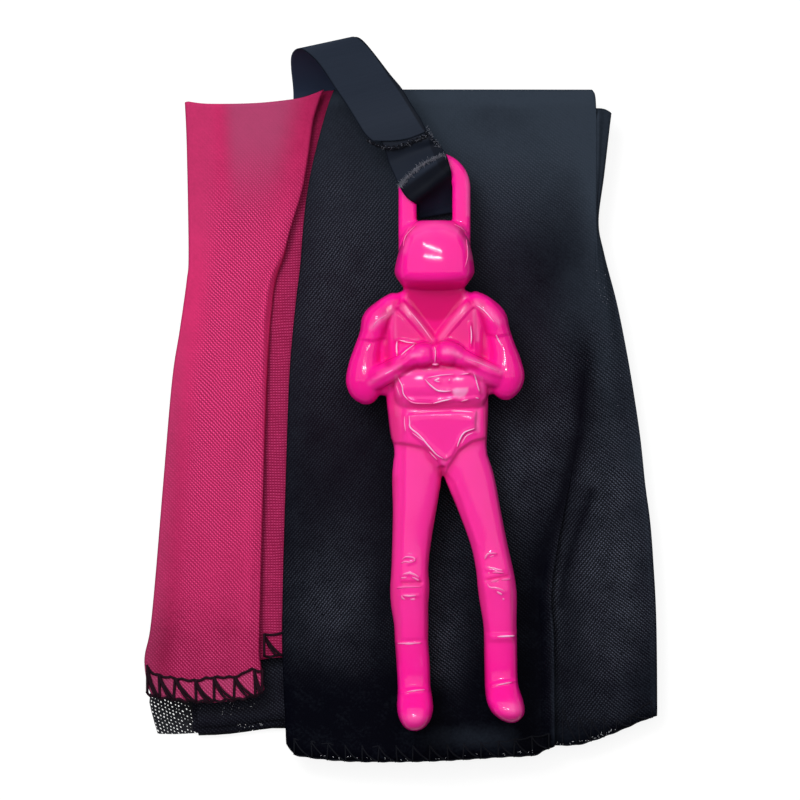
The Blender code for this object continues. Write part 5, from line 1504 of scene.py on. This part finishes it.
def figure_piece():
    """The figure: its bodies run together, rounded where they meet, and its front worked over."""
    shapes = [body_shape(*body) for body in BODIES]
    shapes.insert(EYELET_PLACE, eyelet_shape())
    points, faces = joined(shapes)
    points[:, 2] *= SQUASH
    rough = new_object("moulded_figure", new_mesh("moulded_figure", points, faces, PLASTIC))
    join = rough.modifiers.new("join", "REMESH")
    join.mode = "VOXEL"
    join.voxel_size = 0.00025
    soften = rough.modifiers.new("soften", "SMOOTH")
    soften.factor = 0.5
    soften.iterations = 5
    graph = bpy.context.evaluated_depsgraph_get()
    whole = bpy.data.meshes.new_from_object(rough.evaluated_get(graph))
    rough.modifiers.clear()
    rough.data = whole
    co = np.empty(len(whole.vertices) * 3)
    whole.vertices.foreach_get("co", co)
    co = co.reshape(-1, 3)
    co[:, 2] /= SQUASH
    whole.vertices.foreach_set("co", co.ravel())
    whole.update()
    normal = np.empty(len(whole.vertices) * 3)
    whole.vertex_normals.foreach_get("vector", normal)
    facing = ease(normal.reshape(-1, 3)[:, 2], 0.05, 0.55)
    right, down = co[:, 0] / UNIT + SHEET_MIDDLE, SHEET_MIDDLE - co[:, 1] / UNIT
    for outline, high_end, low_end, fall in LEVEL_FACES:
        plane = np.interp(down, *zip(high_end, low_end))
        weight = ease(inside(right, down, outline), -fall / 2, fall) * facing
        co[:, 2] += ((FIGURE_BACK + plane) * MM - co[:, 2]) * weight
    top_right, top_down, top_height = VISOR_TOP
    bulge = (top_down - down) ** 2 / 320 + (right - top_right) ** 2 / 240
    brow = top_height - bulge * UNIT_MM
    weight = ease(inside(right, down, VISOR), -9, 9)
    co[:, 2] += ((FIGURE_BACK + brow) * MM - co[:, 2]) * weight * facing
    co[:, 2] += figure_relief(right, down) * facing * MM
    whole.vertices.foreach_set("co", co.ravel())
    whole.update()
    whole.shade_smooth()
    # Painted shade and painted highlights on the figure
    paint(rough, shade=figure_shade(right, down), gleam=figure_gleam(right, down))
    whole.materials.clear()
    whole.materials.append(PLASTIC)
    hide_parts("figure")
    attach(rough, "figure")
    return rough


# Building

stacked_folds(
    "mesh_gore_layers", "mesh_gore",
    left=[(100, 200), (300, 196), (560, 176), (690, 149.6), (718, 151.8), (735, 156.6)],
    right=[(100, 585), (430, 596), (735, 606)],
    top=112, hem=738, low=0.05, high=0.48, layers=3, material=MESH, thickness=0, step=48, climb=8,
)
stacked_folds(
    "black_back_folds", "black_gore_back_folds",
    left=[(100, 194), (290, 194), (560, 190), (735, 192)],
    right=[(100, 592), (220, 590), (500, 626), (735, 636)],
    top=104, hem=735.5, low=0.75, high=2.55, layers=5, material=BLACK, thickness=FOLD_THICKNESS,
    step=7, climb=8,
)
stacked_folds(
    "black_middle_folds", "black_gore_middle_folds",
    left=[(90, 349), (425, 344), (750, 344)],
    right=[(90, 560), (420, 545), (750, 511)],
    top=96, hem=748, low=2.85, high=5.05, layers=5, material=BLACK, thickness=FOLD_THICKNESS,
    step=7,
)
pink = pink_cloth()
panel = black_panel()
overlock(
    "pink_flap_overlock", "pink_flap_hem_thread", pink,
    top_line=FLAP_STITCH_LINE,
    edge_line=[
        (144, 690), (150, 696), (165.7, 699.2), (197.2, 702.6), (229.2, 701.2), (247.8, 698.5),
        (262.2, 693.8), (266, 690),
    ],
    posts=[146.8, 158.5, 174.5, 195, 213.5, 234.5, 254, 262.3],
    radius=0.27, body="pink_flap", material=THREAD, fans=2,
)
overlock(
    "pink_inner_overlock", "pink_inner_hem_thread", pink,
    top_line=[(262, 635), (282, 633), (300, 633)],
    edge_line=[(262, 657), (282, 657), (300, 657)],
    posts=[264, 283, 298],
    radius=0.26, body="canopy", material=THREAD, fans=2,
)
overlock(
    "panel_overlock", "front_panel_hem_thread", panel,
    top_line=[(286, 738), (343, 745), (394, 746), (446, 744.5), (502, 741), (556, 733)],
    edge_line=PANEL_HEM,
    posts=list(range(294, 552, 17)),
    radius=0.17, body="canopy", material=BLACK_THREAD, fans=1, lift=-0.06, loops=0.35,
)
overlock(
    "side_overlock", "side_fold_hem_thread", panel,
    top_line=[
        (560, 706), (571, 712), (582, 717.5), (597, 720), (607, 717), (619, 720), (631, 715),
        (650, 702), (657, 700),
    ],
    edge_line=SIDE_HEM,
    posts=[563, 579, 592, 604, 617, 632, 652],
    radius=0.15, body="canopy", material=BLACK_THREAD, fans=1, lift=-0.05, loops=0.35,
)
# The bridle's painted sheen over its first part, and painted shade growing towards its end
bridle, bridle_span = ribbon_piece(
    "bridle_ribbon", BRIDLE_ROWS, ["bridle_back_strip", "bridle_front_strip"],
    length_steps=120, crumple=0.0, bow=4.5,
    veil=[(0, 0.9), (0.38, 1.0), (0.47, 0.1), (0.52, 0.0), (1, 0.0)],
    tone=[(0, 1), (0.62, 1), (0.85, 0.86), (1, 0.72)],
)
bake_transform(bridle)
# The loop's painted highlight on its crest, painted shade just past it, and painted sheen beyond
loop, loop_span = ribbon_piece(
    "eyelet_loop_band", LOOP_ROWS, ["eyelet_loop_ribbon"],
    length_steps=110, crumple=0.10, bow=0.0,
    veil=[(0, 0.1), (0.45, 0.1), (0.52, 0.5), (1, 0.5)],
    tone=[
        (0, 0.36), (0.12, 0.30), (0.20, 0.42), (0.29, 0.50), (0.315, 0.8), (0.34, 0.16),
        (0.46, 0.10), (0.54, 0.7), (1, 0.8),
    ],
)
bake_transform(loop)
SEWN_END = [(367, 140.5), (376, 145.5), (387, 148.5), (398, 148), (408, 144), (418, 140.5), (427, 136)]
TACK_STITCHES = 13
ZIGZAG_HEIGHT, BEAD_HEIGHT = 15.95, 15.72
edge = flow(SEWN_END, 110)
steps = np.linspace(0, TACK_STITCHES * 2 * math.pi, len(edge))
zigzag = place(
    edge[:, 0] + 0.7 * np.sin(steps), edge[:, 1] + 1.9 * np.sin(steps),
    ZIGZAG_HEIGHT + 0.10 * np.cos(steps),
)
bead = place(edge[:, 0] + 0.7, edge[:, 1] + 1.3, BEAD_HEIGHT + 0.08 * np.sin(0.6 * steps))
tack = cord_piece("tack_stitching", [zigzag, bead], 0.13 * MM, BLACK_THREAD)
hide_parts("bridle_tack_stitches")
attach(tack, "bridle")


def fuzz(
    name, line, height, count, reach, body, seed, material, rise_by=0.40, band=0.0, radius=0.028
):
    """Loose fibres off a raw edge: short bent hairs that lean off to both sides of a line, or of
    a band about it."""
    chance = np.random.default_rng(seed)
    spots = flow(line, 200)[np.sort(chance.integers(4, 196, count))]
    spots = spots + band * chance.uniform(-1, 1, (count, 2))
    lean = chance.normal(0.0, 1.0, (count, 2)) * reach
    share = np.linspace(0, 1, 6)
    routes = []
    for (right_by, down_by), (lean_right, lean_down), rise in zip(spots, lean, chance.random(count)):
        curl = min(0.6, 0.5 * reach) * rise * np.sin(3.1 * share)
        routes.append(place(
            right_by + lean_right * share + curl, down_by + lean_down * share,
            height + rise_by * rise * np.sin(2.4 * share),
        ))
    piece = cord_piece(name, routes, radius * MM, material, 4)
    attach(piece, body)


CREST = [(399.5, 187), (404, 181.5), (414, 171.5), (427, 162.5), (445, 155)]
LOOP_EDGE = [(426, 128), (433, 139), (440, 149)]
# Fibres of the ribbon: (name, line, height, count, reach, body, seed)
RIBBON_FIBRES = [
    ("crest_fibres", CREST, 16.35, 620, 1.6, "eyelet_loop", 3),
    ("sewn_end_fibres", SEWN_END, 15.9, 46, 1.4, "bridle", 5),
    ("loop_edge_fibres", LOOP_EDGE, 15.6, 40, 1.6, "eyelet_loop", 8),
]
for fibres in RIBBON_FIBRES:
    fuzz(*fibres, material=FIBRE)
SPECKS = [
    (596.8, 270.6), (605.6, 274.6), (599.2, 283.0), (600.0, 289.6), (604.8, 287.6), (601.0, 295.2),
    (605.2, 296.4), (603.4, 301.6), (608.0, 299.0), (607.0, 303.4), (612.4, 334.0), (621.0, 376.0),
    (618.6, 405.6),
]
speck_routes = [
    on_cloth(panel, np.array([right_by - 0.3, right_by, right_by + 0.3]), np.full(3, down_by), 0.12)
    for right_by, down_by in SPECKS
]
specks = cord_piece("side_lint", speck_routes, 0.075 * MM, FIBRE, 5)
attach(specks, "canopy")
# Pale lint on the canopy: (name, line, height, count, reach, seed, rise, band, radius)
LINT_BANDS = [
    ("mesh_lint", [(206, 700), (232, 708), (262, 706)], 2.7, 24, 0.14, 17, 0.08, 9.0, 0.075),
    ("far_mesh_lint", [(236, 726), (246, 727.5), (262, 726)], 2.7, 12, 0.14, 18, 0.08, 1.5, 0.075),
    ("hem_lint", [(548, 743), (570, 743.5), (595, 738), (622, 728)], 5.6, 34, 0.8, 14, 0.45, 1.2, 0.05),
    ("front_hem_lint", [(318, 756), (368, 759), (430, 759), (540, 752)], 6.9, 34, 0.8, 15, 0.25, 1.4, 0.045),
]
for lint_name, line, height, count, reach, seed, rise_by, band, radius in LINT_BANDS:
    fuzz(lint_name, line, height, count, reach, "canopy", seed, LINT, rise_by, band, radius)
bar_share = np.linspace(0, 1, 8)
bars = [
    place(right_by + 4 * bar_share, 118 + 7 * bar_share, 3.75 + 0.2 * np.sin(3.1 * bar_share))
    for right_by in range(300, 340, 6)
]
anchor = cord_piece("anchor_stitching", bars, 0.14 * MM, THREAD)
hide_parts("bridle_anchor_stitches")
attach(anchor, "canopy")
moulded_lines(figure_piece())

# The floor, the light and the camera

FLOOR_HALF = 3
FLOOR_CORNERS = [(-1, -1), (1, -1), (1, 1), (-1, 1)]
floor_mesh = bpy.data.meshes.new("floor")
floor_places = [(FLOOR_HALF * x, FLOOR_HALF * y, -FLOOR_GAP) for x, y in FLOOR_CORNERS]
floor_mesh.from_pydata(floor_places, [], [(0, 1, 2, 3)])
floor = new_object("floor", floor_mesh)


def white_when_seen(tree, surface_socket, lit, share):
    """Adds a plain white glow for rays from the camera, reflections and clear pieces alone."""
    path = tree.nodes.new("ShaderNodeLightPath")
    camera_ray, glossy_ray = path.outputs["Is Camera Ray"], path.outputs["Is Glossy Ray"]
    seen = sum_node(tree, "MULTIPLY_ADD", glossy_ray, 0.2, camera_ray)
    seen = sum_node(tree, "ADD", seen, path.outputs["Is Transmission Ray"], clamp=True)
    glow = tree.nodes.new("ShaderNodeEmission")
    tree.links.new(sum_node(tree, "MULTIPLY", seen, share), glow.inputs["Strength"])
    both = tree.nodes.new("ShaderNodeAddShader")
    tree.links.new(lit, both.inputs[0])
    tree.links.new(glow.outputs[0], both.inputs[1])
    tree.links.new(both.outputs[0], surface_socket)


floor_material = bpy.data.materials.new("floor")
floor_material.use_nodes = True
floor_tree = floor_material.node_tree
floor_surface = floor_tree.nodes["Principled BSDF"]
floor_surface.inputs["Base Color"].default_value = (0.20, 0.20, 0.20, 1)
floor_surface.inputs["Roughness"].default_value = 0.9
floor_surface.inputs["Specular IOR Level"].default_value = 0.0
floor_end = floor_tree.nodes["Material Output"].inputs["Surface"]
white_when_seen(floor_tree, floor_end, floor_surface.outputs[0], 0.86)
floor_mesh.materials.append(floor_material)

world = bpy.data.worlds.new("studio")
bpy.context.scene.world = world
world.use_nodes = True
world.node_tree.nodes["Background"].inputs["Color"].default_value = (1, 1, 1, 1)
world.node_tree.nodes["Background"].inputs["Strength"].default_value = 0.16


def lamp(name, where, aim, size, power, turn=0.0):
    """A flat rectangular lamp that faces a point, turned about its own middle."""
    light = bpy.data.lights.new(name, "AREA")
    light.shape = "RECTANGLE"
    light.size, light.size_y = size
    light.energy = power
    body = new_object(name, light)
    body.location = where
    facing = (Vector(aim) - Vector(where)).to_track_quat("-Z", "Y")
    body.rotation_euler = (facing @ Quaternion((0, 0, 1), turn)).to_euler()
    return body


lamp("soft_box", (-0.15, 0.35, 1.10), (0, 0, 0), (2.0, 1.6), 13.0).visible_glossy = False
lamp("window", (-0.45, 0.65, 1.00), (0, 0, 0), (0.50, 0.40), 7.5).visible_glossy = False
lamp("ceiling", (0.0, 0.73, 1.20), (0.0, 0.73, 0.0), (2.4, 1.6), 11.0).visible_diffuse = False
for index, (right_by, up_by, length, power, turn) in enumerate((
    (-0.04, 0.43, 0.38, 1.5, -0.40), (-0.03, 0.29, 0.32, 1.4, -0.22),
)):
    slot = lamp("slot_%d" % index, (right_by, up_by, 1.15), (0, 0, 0), (length, 0.010), power, turn)
    slot.visible_diffuse = False

CAMERA_HEIGHT = 2.0
CLOTH_HEIGHT = 0.01
PICTURE_WIDTH = 0.160
SENSOR_WIDTH = 36.0
camera_data = bpy.data.cameras.new("camera")
camera_data.sensor_width = SENSOR_WIDTH
camera_data.lens = SENSOR_WIDTH * (CAMERA_HEIGHT - CLOTH_HEIGHT) / PICTURE_WIDTH
camera = new_object("camera", camera_data)
camera.location = (0.0, 0.0, CAMERA_HEIGHT)
bpy.context.scene.camera = camera
bpy.context.scene.view_settings.view_transform = "Standard"
